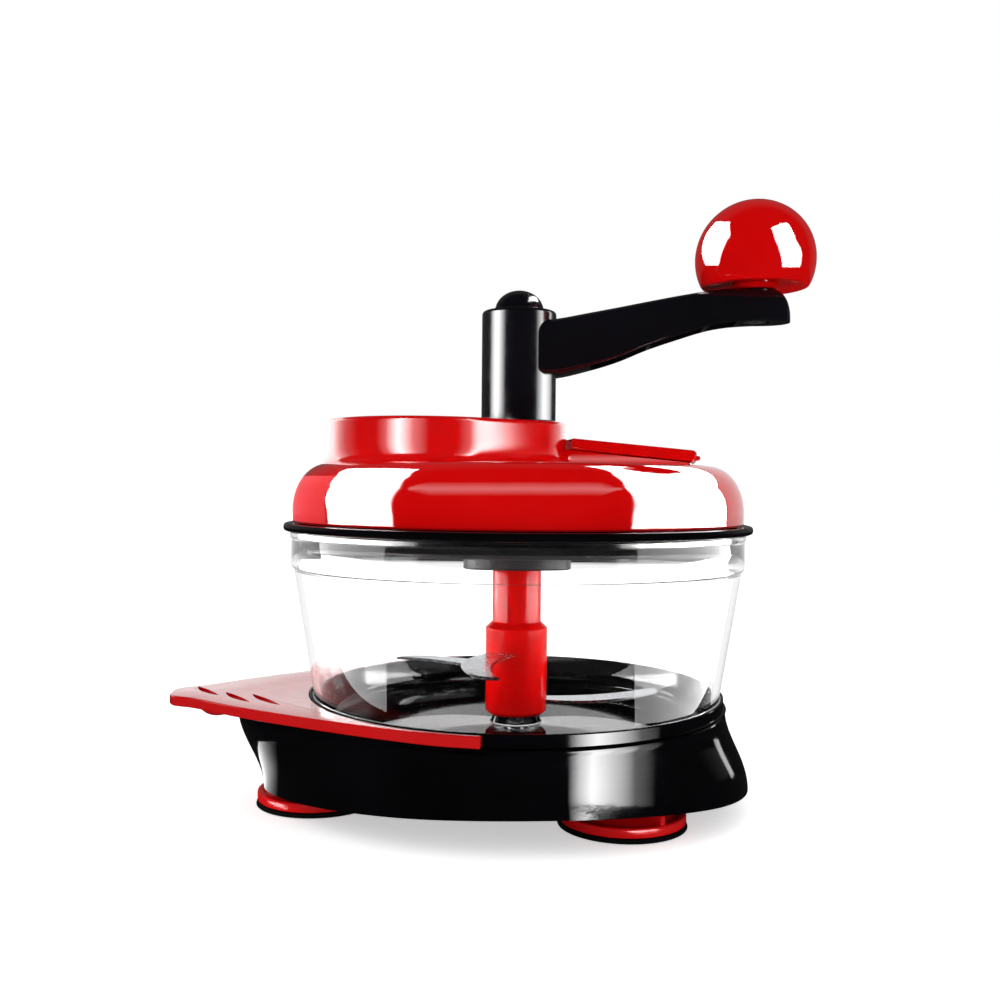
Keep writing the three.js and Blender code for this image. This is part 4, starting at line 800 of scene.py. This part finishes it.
def feed_cover():
    tilt = math.atan((SEAT_INNER - SEAT_OUTER) / (FEED[1] - FEED[0]))
    plate = Shape().prism(sector(FEED, 0, 4, 24), 0, 4.4, 0.9, 5)
    tab = [(71 - 5.2, -11, 0), (71 + 1.7, -11, 2.2), (71 + 1.7, 11, 2.2), (71 - 5.2, 11, 0)]
    plate.prism(rounded(tab, 5), 2.2 - 0.7 + 0.2, 4.4 - 0.9, 0.5)
    lean = (Matrix.Translation((FEED[0], 0, SHOULDER + SEAT_INNER + SEAT))
            @ Matrix.Rotation(tilt, 4, "Y") @ Matrix.Translation((-FEED[0], 0, 0)))
    plate.bm.transform(lean)
    outer = sector(PORT, -RUN, 1.2)
    inner = sector(PORT, -RUN - 1.8, 0.8)
    low = SHOULDER - 3
    plate.loft([
        at_height(outer, low), [(x, y, seat_height(x) + SEAT + 1.2) for x, y in outer],
        [(x, y, seat_height(x) + SEAT + 1.2) for x, y in inner], at_height(inner, low),
    ], cyclic=True)
    fit(plate.piece("feed_lid", 35), "feed_cover", "feed_cover", "case_red")


def rim_ring():
    profile = rounded([(84.4, RIM_BOTTOM, 0.3), (93, RIM_BOTTOM, 1.4), (93, RIM_BOTTOM + 3, 1.4),
                       (84.4, RIM_BOTTOM + 3, 0.3)], 6)
    turned_piece(profile, "rim_band", "rim_ring", "lid", "base_black", 50, facets=192)


def gear_cover():
    skirt = 84
    bottom = SKIRT_BOTTOM
    profile = rounded([
        (9, COVER_HUB, 0.3), (20.7, COVER_HUB, 0.2), (21.7, COVER_HUB + 1, 0.5), (21.7, COVER_BOTTOM, 1.5),
        (skirt - 2, COVER_BOTTOM, 1.5), (skirt - 2, bottom, 0.4), (skirt, bottom, 0.6),
        (skirt, COVER_TOP, 0.3),
        (20.2, COVER_TOP, 0.3), (20.2, COVER_HUB + 2, 0.3), (9, COVER_HUB + 2, 0.3),
    ], 4)
    cover = Shape().turned(profile, facets=160).piece("gear_plate", 40)
    cutters = [Shape().prism(sector(PORT, 2.1, 2), 108, 116, 0).piece("port")]
    for turn in SCREW_TURNS:
        x, y = polar(SCREW_RADIUS, turn)
        cutters.append(Shape().turned([(0, 108), (1.8, 108), (1.8, 116), (0, 116)], x, y, 24).piece("hole"))
    cut(cover, cutters, 40)
    fit(cover, "lid", "gear_cover", "cover_grey")


def lid_seal():
    bottom = SKIRT_BOTTOM + 1.5
    profile = rounded([(84.3, bottom, 0.2), (85.3, bottom, 0.3), (87.5, bottom + 1.8, 0.2),
                       (87.5, bottom + 2.4, 0.2), (84.3, bottom + 3, 0.2)], 4)
    turned_piece(profile, "seal_band", "lid_seal", "lid", "lip_black", facets=160)


# Crank and knob

ARM_END = CRANK_REACH + 13.8
ARM = [(0.06, 0, 0, 0), (0.14, 0, 0.03, 0.1), (0.26, 0.14, 0.24, 0.3), (0.37, 0.31, 0.44, 0.5),
       (0.48, 0.54, 0.65, 0.7), (0.59, 0.73, 0.85, 0.85), (0.7, 0.9, 1.02, 0.95),
       (0.78, 0.97, 1.1, 1), (0.87, 1, 1.05, 1)]


def arm_section(share):
    """(x, bottom, top, half width) at a share of the arm's length, between the listed ones."""
    rows = ARM
    i = max(k for k in range(len(rows) - 1) if rows[k][0] <= share or k == 0)
    p = [rows[min(max(i + step, 0), len(rows) - 1)] for step in (-1, 0, 1, 2)]
    t = min(max((share - p[1][0]) / (p[2][0] - p[1][0]), 0), 1)
    values = []
    for key in (1, 2, 3):
        span = p[2][0] - p[1][0]
        left = (p[2][key] - p[0][key]) / max(p[2][0] - p[0][0], 1e-6) * span
        right = (p[3][key] - p[1][key]) / max(p[3][0] - p[1][0], 1e-6) * span
        a, b = p[1][key], p[2][key]
        values.append((2 * t**3 - 3 * t**2 + 1) * a + (t**3 - 2 * t**2 + t) * left
                      + (3 * t**2 - 2 * t**3) * b + (t**3 - t**2) * right)
    low, high, narrow = values
    root = POST_BOTTOM + 18.6
    tip = POST_BOTTOM + 39.6
    return (ARM_END * share, root + (tip - root) * low,
            root + 21.6 + (tip + 11.6 - root - 21.6) * high, (25 - 5 * narrow) / 2)


def both_sides(x, side, bottom, top):
    """A ring at a place along the arm, from the points of its one side."""
    full = [(0, bottom), *side[1:-1], (0, top), *[(-y, z) for y, z in reversed(side[1:-1])]]
    return [(x, y, z) for y, z in full]


def arm_ring(x, bottom, top, half):
    root = max(1 - x / 30, 0)
    corner = min(half * (0.55 + 0.4 * root), (top - bottom) * 0.45)
    corners = [(0, bottom), (half, bottom, corner * 0.25), (half, top, corner), (0, top)]
    return both_sides(x, rounded(corners, 8, closed=False), bottom, top)


def arm_channel(x, bottom, top, half):
    """The hollow under the arm, as a ring."""
    wall = 2.4
    inner = half - wall
    roof = top - wall
    corner = min(inner * 0.5, (roof - bottom) * 0.4)
    corners = [(0, bottom - 1), (inner, bottom - 1), (inner, roof, corner), (0, roof)]
    return both_sides(x, rounded(corners, 5, closed=False), bottom - 1, roof)


def crank_arm():
    arm = Shape()
    first, last = ARM[0][0], ARM[-1][0]
    rings = [arm_ring(*arm_section(first + (last - first) * i / 40)) for i in range(41)]
    tip = POST_BOTTOM + 39.6
    end_x, _, end_top, end_half = arm_section(last)
    for k in range(1, 15):
        left = 1 - math.sin(math.pi / 2 * k / 14.5)
        high = math.sqrt(1 - (1 - min(left / 0.52, 1)) ** 2)
        wide = math.sqrt(1 - (1 - left) ** 3)
        rings.append(arm_ring(ARM_END - (ARM_END - end_x) * left, tip, tip + (end_top - tip) * high,
                              end_half * wide))
    arm.loft(rings)
    arm_piece = arm.piece("crank_body", 40)
    cutters = []
    for start, end in ((0.27, 0.475), (0.49, 0.68), (0.70, 0.80)):
        steps = 10
        hollow = [arm_channel(*arm_section(start + (end - start) * i / steps)) for i in range(steps + 1)]
        cutters.append(Shape().loft(hollow).piece("hollow"))
    tail = [(0, tip - 1), (5.8, tip - 1), (5.8, tip + 1.7), (0, tip + 1.7)]
    cutters.append(Shape().turned(tail, CRANK_REACH, 0, 48).piece("tail"))
    cut(arm_piece, cutters, 40)
    post = rounded([
        (4.7, POST_BOTTOM), (15, POST_BOTTOM, 0.4), (15, POST_TOP, 1.8), (7.9, POST_TOP, 0.3),
        (7.9, POST_TOP - 6.3), (4.7, POST_TOP - 6.3),
    ], 6)
    boss_top = tip + 12.4
    boss = Shape().turned([(3.3, tip + 5), (8.3, tip + 5), (8.3, boss_top - 0.3), (8.0, boss_top),
                           (3.3, boss_top)], CRANK_REACH, 0, 64)
    join(arm_piece, boss.piece("boss", 40))
    shift = Matrix.Translation((AXIS_X / 1000, 0, 0))
    arm_piece.data.transform(shift @ Matrix.Rotation(math.radians(CRANK_ANGLE), 4, "Z") @ shift.inverted())
    fit(arm_piece, "crank", "crank_arm", "crank_black")
    turned_piece(post, "crank_post", "crank_arm", "crank", "crank_black", facets=128)
    cap = [(0, POST_TOP - 3.7), (7.6, POST_TOP - 3.7), (7.6, POST_TOP + SEAT), (9.4, POST_TOP + SEAT)]
    cap += arc(0, POST_TOP + SEAT, 9.8, 8.2, 3, 90, 20)[:-1] + [(0, POST_TOP + SEAT + 8.2)]
    turned_piece(cap, "cap_dome", "crank_cap", "crank", "crank_black")


def knob():
    x, y = polar(CRANK_REACH, CRANK_ANGLE)
    centre = KNOB_TOP - KNOB_RADIUS
    edge = 1.2
    start = math.degrees(math.asin((KNOB_BOTTOM - centre + edge) / KNOB_RADIUS))
    ball = arc(0, centre, KNOB_RADIUS, KNOB_RADIUS, start, 90, 48)
    flat = math.sqrt(KNOB_RADIUS**2 - (centre - KNOB_BOTTOM) ** 2)
    under = rounded([(8.5, KNOB_BOTTOM + 1.4), (10.8, KNOB_BOTTOM + 1.4, 1), (flat - 2.4, KNOB_BOTTOM, 1),
                     (flat - 0.2, KNOB_BOTTOM, 0.9), ball[0]], 5, closed=False)
    skin = [(0, KNOB_TOP)] + list(reversed(under + ball[1:-1]))
    bore = [(8.5, KNOB_BOTTOM + 22), (0, KNOB_BOTTOM + 22)]
    turned_piece(skin + bore, "knob_ball", "knob", "knob", "case_red", x=x, y=y, facets=128)
    low = 204.4
    top = low + 2.3
    sleeve = rounded([
        (3.4, low), (8.4, low, 0.4), (9, low + 0.7, 0.5), (9, top, 0.5), (8.2, top), (8.2, top + 15),
        (3.4, top + 15),
    ], 4)
    turned_piece(sleeve, "knob_collar", "knob_sleeve", "knob", "case_red", x=x, y=y)


# Finishes for the CAD nodes that stay


def dress_nodes():
    steel = ["blade_pin", "layshaft", "crank_spindle", "crank_screw", "knob_pin", "plate_screw_1",
             "plate_screw_2", *[f"cover_screw_{i}" for i in range(1, 5)]]
    white = ["crank_bush", "idler_gear", "drive_pinion", "crank_gear"]
    for name in steel + white:
        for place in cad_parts[name].material_slots:
            place.material = SLOTS["steel" if name in steel else "gear_white"]


# Studio

# The camera as fitted to the photograph, in metres and degrees.
CAMERA_PLACE = (-0.03674, -0.4301, 0.12632)
CAMERA_LENS = 38.46
CAMERA_AZIMUTH = 5.313
CAMERA_PITCH = 0.786
CAMERA_ROLL = 0.493

# Panels, from pixels of the photograph's highlights. A row is its height and the places along it;
# the strip's rows are upright, each a place and its heights; the base's right, the bowl and the cups
# give every pixel as (place, height). Reaches and heights above the floor are in metres.

PHOTO_SIDE = 1000
PANEL_REACH = 0.5
PANEL_LOWEST = 0.001
WINDOW_GLOW = (26, 26)
LID_WINDOW_PIXELS = {
    "left": [(505, 326, 391), (488, 330, 400), (476, 337, 410), (472, 341, 413)],
    "right": [(505, 635, 726), (488, 625, 717), (476, 614, 712), (470, 606, 700)],
}
LID_STRIP_PIXELS = [(408, 491, 489, 487), *[(x, 496, 489, 482) for x in (430, 460, 500, 550, 600)],
                    (617, 491, 489, 487)]
LID_EDGE_PIXELS = [(505, 294, 297, 310, 324), (488, 298.5, 302, 315, 329), (476, 305.5, 309, 320, 336)]
LID_EDGE_PINKS = ((0.8, 0.1, 0.1), (1.1, 0.14, 0.16), (1.4, 0.17, 0.2), (2.6, 0.3, 0.35), (3.2, 0.4, 0.45))
LID_EDGE_RIGHT_PIXELS = [(505, 743.3, 741, 735, 727), (488, 738.2, 736, 727, 718), (482, 735, 733, 725, 715),
                         (476, 729, 727, 720, 712), (470, 721, 719, 712, 700)]
KNOB_LEFT_PIXELS = [(222, 716, 723, 730), (235, 706, 719, 731), (250, 702, 712, 723),
                    (261, 704, 711, 720), (265.5, 706, 711.5, 718.5)]
KNOB_RIGHT_PIXELS = [(223, 782, 788), (228, 771, 791), (240, 775, 796), (253, 780, 802), (267, 782, 800)]
POST_PIXELS = {"left": ([(345, 490.5, 497, 505.5)], (0, 31, 0)),
               "right": ([(412, 535.7, 543.5, 551.5)], (0, 24, 0))}
CAP_PIXELS = [(302, 528, 538), (297.5, 529, 536)]
BOSS_HEIGHT = 448
BOSS_FOOT = 0.09
BOSS_NEAR_REACH = 0.15
# For each panel on the gear housing: its places, its glow, the steps beyond its sides and its top.
BOSS_PIXELS = {
    "boss_1": ((327.1, 328.5, 334, 340, 346, 358), (1.2, 1.6, 2.7, 5.2, 2.7, 1, 0), (0.7, 0), 0.45),
    "boss_2": ((378, 387, 399, 413, 428), (0, 3, 30, 5, 0), (0, 0), 0.6),
    "boss_3": ((458, 470, 484, 500, 516), (0, 2.8, 26, 8, 0), (0, 0), 0.33),
    "boss_4": ((546.5, 556, 562.8, 565.5, 566.5), (0, 2.5, 5.5, 3, 1.8, 1.2), (0, 1.4), 0.45),
}
POST_WALL = (0.04, 0.42)
SHAFT_WALL = (0.04, 0.13)
BAND_TOP = 0.2
BAND_LOWEST = 0.01
BASE_RIGHT_TOP = 0.09
BOWL_WINDOW_TOP = 0.105
ROOM_FLOOR = [(0.8, 0.06), (1.9, 1.9)]
ROOM_BACK = [(-1.8, 0.1), (-1.9, 1.9), (1.9, 1.9), (1.8, 0.1)]
ROOM_TOP = 1.5
BAND_PLACES = (568, 580, 592, 612, 635, 655)
BAND_HEIGHTS = (806, 790, 780, 772, 764, 757)
BASE_RIGHT_PIXELS = [[(731.5, 778), (727, 760)]]
BASE_LEFT_PIXELS = [(785, 265, 268, 278), (760, 263, 267, 278), (745, 262, 266, 277)]
BOWL_PIXELS = {
    "left": [[(324, 675), (386, 745)], [(324, 640), (386, 673)], [(324, 585), (386, 585)],
             [(324, 572), (386, 573)]],
    "right": [[(635, 728), (717, 660)], [(635, 648), (722, 622)], [(635, 572), (727, 587)],
              [(635, 578), (728, 572)]],
}
SHAFT_PIXELS = {"left": [(575, 495, 501, 508)], "right": [(597, 526, 532, 538)]}
CUP_RIGHT_PIXELS = [[(637, 832), (661, 828.8)], [(637, 831), (655, 829.6)]]
CUP_LEFT_PIXELS = [[(276, 806), (288, 809)], [(272, 804), (284, 806)]]


def level(tree, *steps):
    """A number picked by how the ray came: after a diffuse bounce, after a mirror bounce, or straight."""
    path = tree.nodes.new("ShaderNodeLightPath")
    value = None
    for depth, amount in steps:
        if depth is None:
            value = amount
            continue
        here = tree.nodes.new("ShaderNodeMath")
        here.operation = "GREATER_THAN"
        here.inputs[1].default_value = 0.5
        tree.links.new(path.outputs[depth], here.inputs[0])
        mix = tree.nodes.new("ShaderNodeMix")
        mix.data_type = "FLOAT"
        tree.links.new(here.outputs[0], mix.inputs["Factor"])
        for socket, source in (("A", value), ("B", amount)):
            if isinstance(source, float):
                mix.inputs[socket].default_value = source
            else:
                tree.links.new(source, mix.inputs[socket])
        value = mix.outputs["Result"]
    return value


def world_light():
    """White to the camera and through the bowl, even light for the surfaces; a reflection shows a dark
    studio, and the bowl's own shows white behind the object."""
    world = bpy.data.worlds.new("studio")
    bpy.context.scene.world = world
    world.use_nodes = True
    world.cycles.sampling_method = "NONE"
    tree = world.node_tree
    background = tree.nodes["Background"]
    background.inputs["Color"].default_value = (1, 1, 1, 1)
    where = tree.nodes.new("ShaderNodeTexCoord").outputs["Generated"]
    split = tree.nodes.new("ShaderNodeSeparateXYZ")
    tree.links.new(where, split.inputs[0])
    outside = level(tree, (None, 1.0), ("Glossy Depth", backdrop(tree, split.outputs["Y"], 0.012, 0.1)))
    within = level(tree, (None, backdrop(tree, split.outputs["Z"], 1.0, 0.15, 0.03, 0.12)),
                   ("Glossy Depth", backdrop(tree, split.outputs["Y"], 0.1, 1.0)))
    lit = level(tree, (None, 0.82), ("Transmission Depth", 1.15))
    strength = level(tree, (None, outside), ("Transmission Depth", within), ("Diffuse Depth", lit))
    tree.links.new(strength, background.inputs["Strength"])


def backdrop(tree, depth, front, behind, start=0.1, end=0.45):
    """A strength that rises from the front of the studio to its back."""
    node = tree.nodes.new("ShaderNodeMapRange")
    node.interpolation_type = "SMOOTHSTEP"
    node.inputs["From Min"].default_value = start
    node.inputs["From Max"].default_value = end
    node.inputs["To Min"].default_value = front
    node.inputs["To Max"].default_value = behind
    tree.links.new(depth, node.inputs["Value"])
    return node.outputs["Result"]


def floor():
    """A white floor that keeps the shadow; a reflection shows it dark, but for the back of the bowl's."""
    made, tree, shader = material("floor")
    shader.inputs["Base Color"].default_value = (1, 1, 1, 1)
    shader.inputs["Roughness"].default_value = 1
    shader.inputs["Specular IOR Level"].default_value = 0
    lift = level(tree, (None, 0.5), ("Glossy Depth", 0.0), ("Diffuse Depth", 0.0))
    shader.inputs["Emission Color"].default_value = (1, 1, 1, 1)
    tree.links.new(lift, shader.inputs["Emission Strength"])
    where = tree.nodes.new("ShaderNodeTexCoord").outputs["Object"]
    split = tree.nodes.new("ShaderNodeSeparateXYZ")
    tree.links.new(where, split.inputs[0])
    glossy = tree.nodes.new("ShaderNodeEmission")
    within = backdrop(tree, split.outputs["Y"], 0.03, 1.0, -0.02, 0.08)
    tree.links.new(level(tree, (None, 0.012), ("Transmission Depth", within)), glossy.inputs["Strength"])
    mix = tree.nodes.new("ShaderNodeMixShader")
    mirrored_only = level(tree, (None, 0.0), ("Glossy Depth", 1.0), ("Diffuse Depth", 0.0))
    tree.links.new(mirrored_only, mix.inputs["Fac"])
    tree.links.new(shader.outputs[0], mix.inputs[1])
    tree.links.new(glossy.outputs[0], mix.inputs[2])
    tree.links.new(mix.outputs[0], tree.nodes["Material Output"].inputs["Surface"])
    mesh = bpy.data.meshes.new("floor")
    mesh.from_pydata([(-4, -4, 0), (4, -4, 0), (4, 4, 0), (-4, 4, 0)], [], [(0, 1, 2, 3)])
    plane = bpy.data.objects.new("floor", mesh)
    plane.location.z = -0.0003
    plane.data.materials.append(made)
    bpy.context.scene.collection.objects.link(plane)


def softbox(name, shown_by, rows, glow, through=False):
    """A glowing panel that shows only as a reflection, on the pieces named, and lets light pass.

    Its rows are points in metres, and glow is the strength, or the colour, down each column."""
    made = bpy.data.materials.new(name)
    made.use_nodes = True
    made.cycles.emission_sampling = "NONE"
    tree = made.node_tree
    tree.nodes.remove(tree.nodes["Principled BSDF"])
    light = tree.nodes.new("ShaderNodeEmission")
    share = tree.nodes.new("ShaderNodeAttribute")
    share.attribute_name = "glow"
    tree.links.new(share.outputs["Color"], light.inputs["Color"])
    both = tree.nodes.new("ShaderNodeAddShader")
    tree.links.new(light.outputs[0], both.inputs[0])
    tree.links.new(tree.nodes.new("ShaderNodeBsdfTransparent").outputs[0], both.inputs[1])
    tree.links.new(both.outputs[0], tree.nodes["Material Output"].inputs["Surface"])
    wide = len(glow)
    starts = [wide * row + i for row in range(len(rows) - 1) for i in range(wide - 1)]
    mesh = bpy.data.meshes.new(name)
    mesh.from_pydata([point for row in rows for point in row], [],
                     [(k, k + 1, k + wide + 1, k + wide) for k in starts])
    colours = mesh.color_attributes.new("glow", "FLOAT_COLOR", "POINT")
    for item, colour in zip(colours.data, glow * len(rows)):
        item.color = (*colour, 1) if isinstance(colour, tuple) else (colour, colour, colour, 1)
    panel = bpy.data.objects.new(name, mesh)
    panel.data.materials.append(made)
    panel.visible_camera = False
    panel.visible_diffuse = False
    panel.visible_shadow = False
    panel.visible_transmission = through
    bpy.context.scene.collection.objects.link(panel)
    group = bpy.data.collections.new(name)
    for piece in shown_by:
        group.objects.link(PIECES[piece])
    panel.light_linking.receiver_collection = group


def across(rows):
    """Rows of pixels, each given as its height in the photograph and the places along it."""
    return [[(x, y) for x in places] for y, *places in rows]


def upright(rows):
    """Rows of pixels, each given as its place in the photograph and the heights along it."""
    return [[(x, y) for y in heights] for x, *heights in rows]


def bounced(piece, pixel, reach, lowest):
    """Where the view through a pixel of the photograph ends once the piece has mirrored it."""
    eye = bpy.context.scene.camera
    scale = eye.data.sensor_width / eye.data.lens / PHOTO_SIDE
    x, y = pixel
    aim = Vector(((x - PHOTO_SIDE / 2) * scale, (PHOTO_SIDE / 2 - y) * scale, -1))
    ray = (eye.matrix_world.to_3x3() @ aim).normalized()
    found, place, _, index = piece.ray_cast(eye.matrix_world.translation, ray)
    if not found:
        raise ValueError(f"{piece.name} isn't at pixel {pixel}")
    mesh = piece.data
    face = mesh.polygons[index]
    weights = poly_3d_calc([mesh.vertices[v].co for v in face.vertices], place)
    normal = Vector()
    for loop, weight in zip(face.loop_indices, weights):
        normal += mesh.corner_normals[loop].vector * weight
    out = ray.reflect(normal.normalized())
    if out.z < 0:
        reach = min(reach, (place.z - lowest) / -out.z)
    return place + out * reach


def beyond(points, before, after):
    """A list of points with one more that many steps beyond the first and the last."""
    first = [points[0] + (points[0] - points[1]) * before] if before else []
    last = [points[-1] + (points[-1] - points[-2]) * after] if after else []
    return first + list(points) + last


def highlight(name, piece, pixels, glow, rows_more=(0, 0), sides_more=(0, 0), wall=None,
              reach=PANEL_REACH, lowest=PANEL_LOWEST, seen_on=None):
    """A panel whose mirror image on the piece fills the pixels, given in rows.

    rows_more and sides_more are the steps that it goes on beyond its first and last row and column;
    each adds a row or a column, and glow has a value for every column. wall has the two heights
    between which the last row stands upright. A panel whose piece is seen through the bowl is linked
    to the bowl, given as seen_on."""
    rows = [[bounced(PIECES[piece], pixel, reach, lowest) for pixel in row] for row in pixels]
    rows = [beyond(row, *sides_more) for row in rows]
    rows = list(zip(*[beyond(column, *rows_more) for column in zip(*rows)]))
    if wall:
        rows[-1:] = [[(point.x, point.y, z) for point in rows[-1]] for z in wall]
    softbox(name, [seen_on or piece], rows, glow, through=bool(seen_on))


def lamp(name, place, size, watts):
    data = bpy.data.lights.new(name, "AREA")
    data.size = size
    data.energy = watts
    lamp_object = bpy.data.objects.new(name, data)
    lamp_object.location = place
    aim = Vector((0, 0, 0.12)) - Vector(place)
    lamp_object.rotation_euler = aim.to_track_quat("-Z", "Y").to_euler()
    lamp_object.visible_glossy = False
    bpy.context.scene.collection.objects.link(lamp_object)


def camera():
    """The photograph's camera: close, and turned a little to the right and down, with a small roll."""
    azimuth = math.radians(CAMERA_AZIMUTH)
    pitch = math.radians(CAMERA_PITCH)
    roll = math.radians(CAMERA_ROLL)
    flat = Vector((math.sin(azimuth), math.cos(azimuth), 0))
    forward = flat * math.cos(pitch) - Vector((0, 0, math.sin(pitch)))
    sideways = Vector((math.cos(azimuth), -math.sin(azimuth), 0))
    plumb = sideways.cross(forward)
    up = plumb * math.cos(roll) - sideways * math.sin(roll)
    right = sideways * math.cos(roll) + plumb * math.sin(roll)
    data = bpy.data.cameras.new("camera")
    data.lens = CAMERA_LENS
    data.sensor_width = 36
    data.clip_start = 0.01
    eye = bpy.data.objects.new("camera", data)
    matrix = Matrix((right, up, -forward)).transposed().to_4x4()
    matrix.translation = Vector(CAMERA_PLACE)
    eye.matrix_world = matrix
    bpy.context.scene.collection.objects.link(eye)
    bpy.context.scene.camera = eye


camera()
bpy.context.scene.view_settings.view_transform = "Standard"
world_light()
floor()
lamp("key", (-0.7, -0.9, 0.9), 0.8, 3)
lamp("fill", (0.9, -0.6, 0.7), 0.8, 1.5)
base_shell()
palm_plate()
suction_cups()
bowl()
blades()
blade_shaft()
lid_shell()
feed_cover()
rim_ring()
gear_cover()
lid_seal()
crank_arm()
knob()
dress_nodes()

bpy.context.view_layer.update()
for side, pixels in LID_WINDOW_PIXELS.items():
    highlight("lid_" + side, "lid_dome", across(pixels), WINDOW_GLOW, rows_more=(0.9, 0.9))
highlight("lid_strip", "lid_dome", upright(LID_STRIP_PIXELS), (0, 3.4, 0), rows_more=(0, 0.4))
highlight("lid_edge", "lid_dome", across(LID_EDGE_PIXELS), LID_EDGE_PINKS,
          rows_more=(1.5, 0), sides_more=(1.5, 0))
highlight("lid_edge_right", "lid_dome", across(LID_EDGE_RIGHT_PIXELS), (0.6, 0.75, 0.8, 0.9, 1),
          rows_more=(1.5, 1), sides_more=(2, 0))
highlight("knob_left", "knob_ball", across(KNOB_LEFT_PIXELS), WINDOW_GLOW[:1] * 3)
highlight("knob_right", "knob_ball", across(KNOB_RIGHT_PIXELS), WINDOW_GLOW)
for side, (pixels, glow) in POST_PIXELS.items():
    highlight("post_" + side, "crank_post", across(pixels), glow, wall=POST_WALL)
highlight("cap_spot", "cap_dome", across(CAP_PIXELS), (20, 20))
for name, (places, glow, sides_more, top) in BOSS_PIXELS.items():
    pixels = across([(BOSS_HEIGHT, *places)])
    reach = BOSS_NEAR_REACH if name == "boss_3" else PANEL_REACH
    highlight(name, "gear_housing", pixels, glow, sides_more=sides_more, wall=(BOSS_FOOT, top), reach=reach)
highlight("base_band", "base_body", across((y, *BAND_PLACES) for y in BAND_HEIGHTS),
          (0, 14, 24, 14.5, 2.4, 0), rows_more=(0, 15), wall=(PANEL_LOWEST, BAND_TOP), lowest=BAND_LOWEST)
highlight("base_right", "base_body", BASE_RIGHT_PIXELS, (2.6, 2.6), wall=(PANEL_LOWEST, BASE_RIGHT_TOP))
highlight("base_left", "base_body", across(BASE_LEFT_PIXELS), (4, 2.6, 1.6, 0),
          rows_more=(0.3, 0.4), sides_more=(1.2, 0))
for side, pixels in BOWL_PIXELS.items():
    highlight("bowl_near_" + side, "bowl_wall", pixels[:3], (8, 8))
    highlight("bowl_" + side, "bowl_wall", pixels[2:], (36, 36), wall=(PANEL_LOWEST, BOWL_WINDOW_TOP))
for side, pixels in SHAFT_PIXELS.items():
    highlight("shaft_" + side, "shaft_tube", across(pixels), (0, 110, 0), wall=SHAFT_WALL,
              seen_on="bowl_wall")
highlight("cup_right", "cup_front", CUP_RIGHT_PIXELS, (30, 30, 30), rows_more=(0, 0.6), sides_more=(0.3, 0))
highlight("cup_left", "cup_prow", CUP_LEFT_PIXELS, (12, 12), rows_more=(0, 2))
room_floor = [at_height([(-x, y), (x, y)], PANEL_LOWEST) for x, y in ROOM_FLOOR]
softbox("room_floor", ["bowl_wall"], room_floor, (1, 1))
room_back = [at_height(ROOM_BACK, z) for z in (PANEL_LOWEST, ROOM_TOP)]
softbox("room_back", ["bowl_wall", "palm_rest"], room_back, (1, 1, 1, 1))
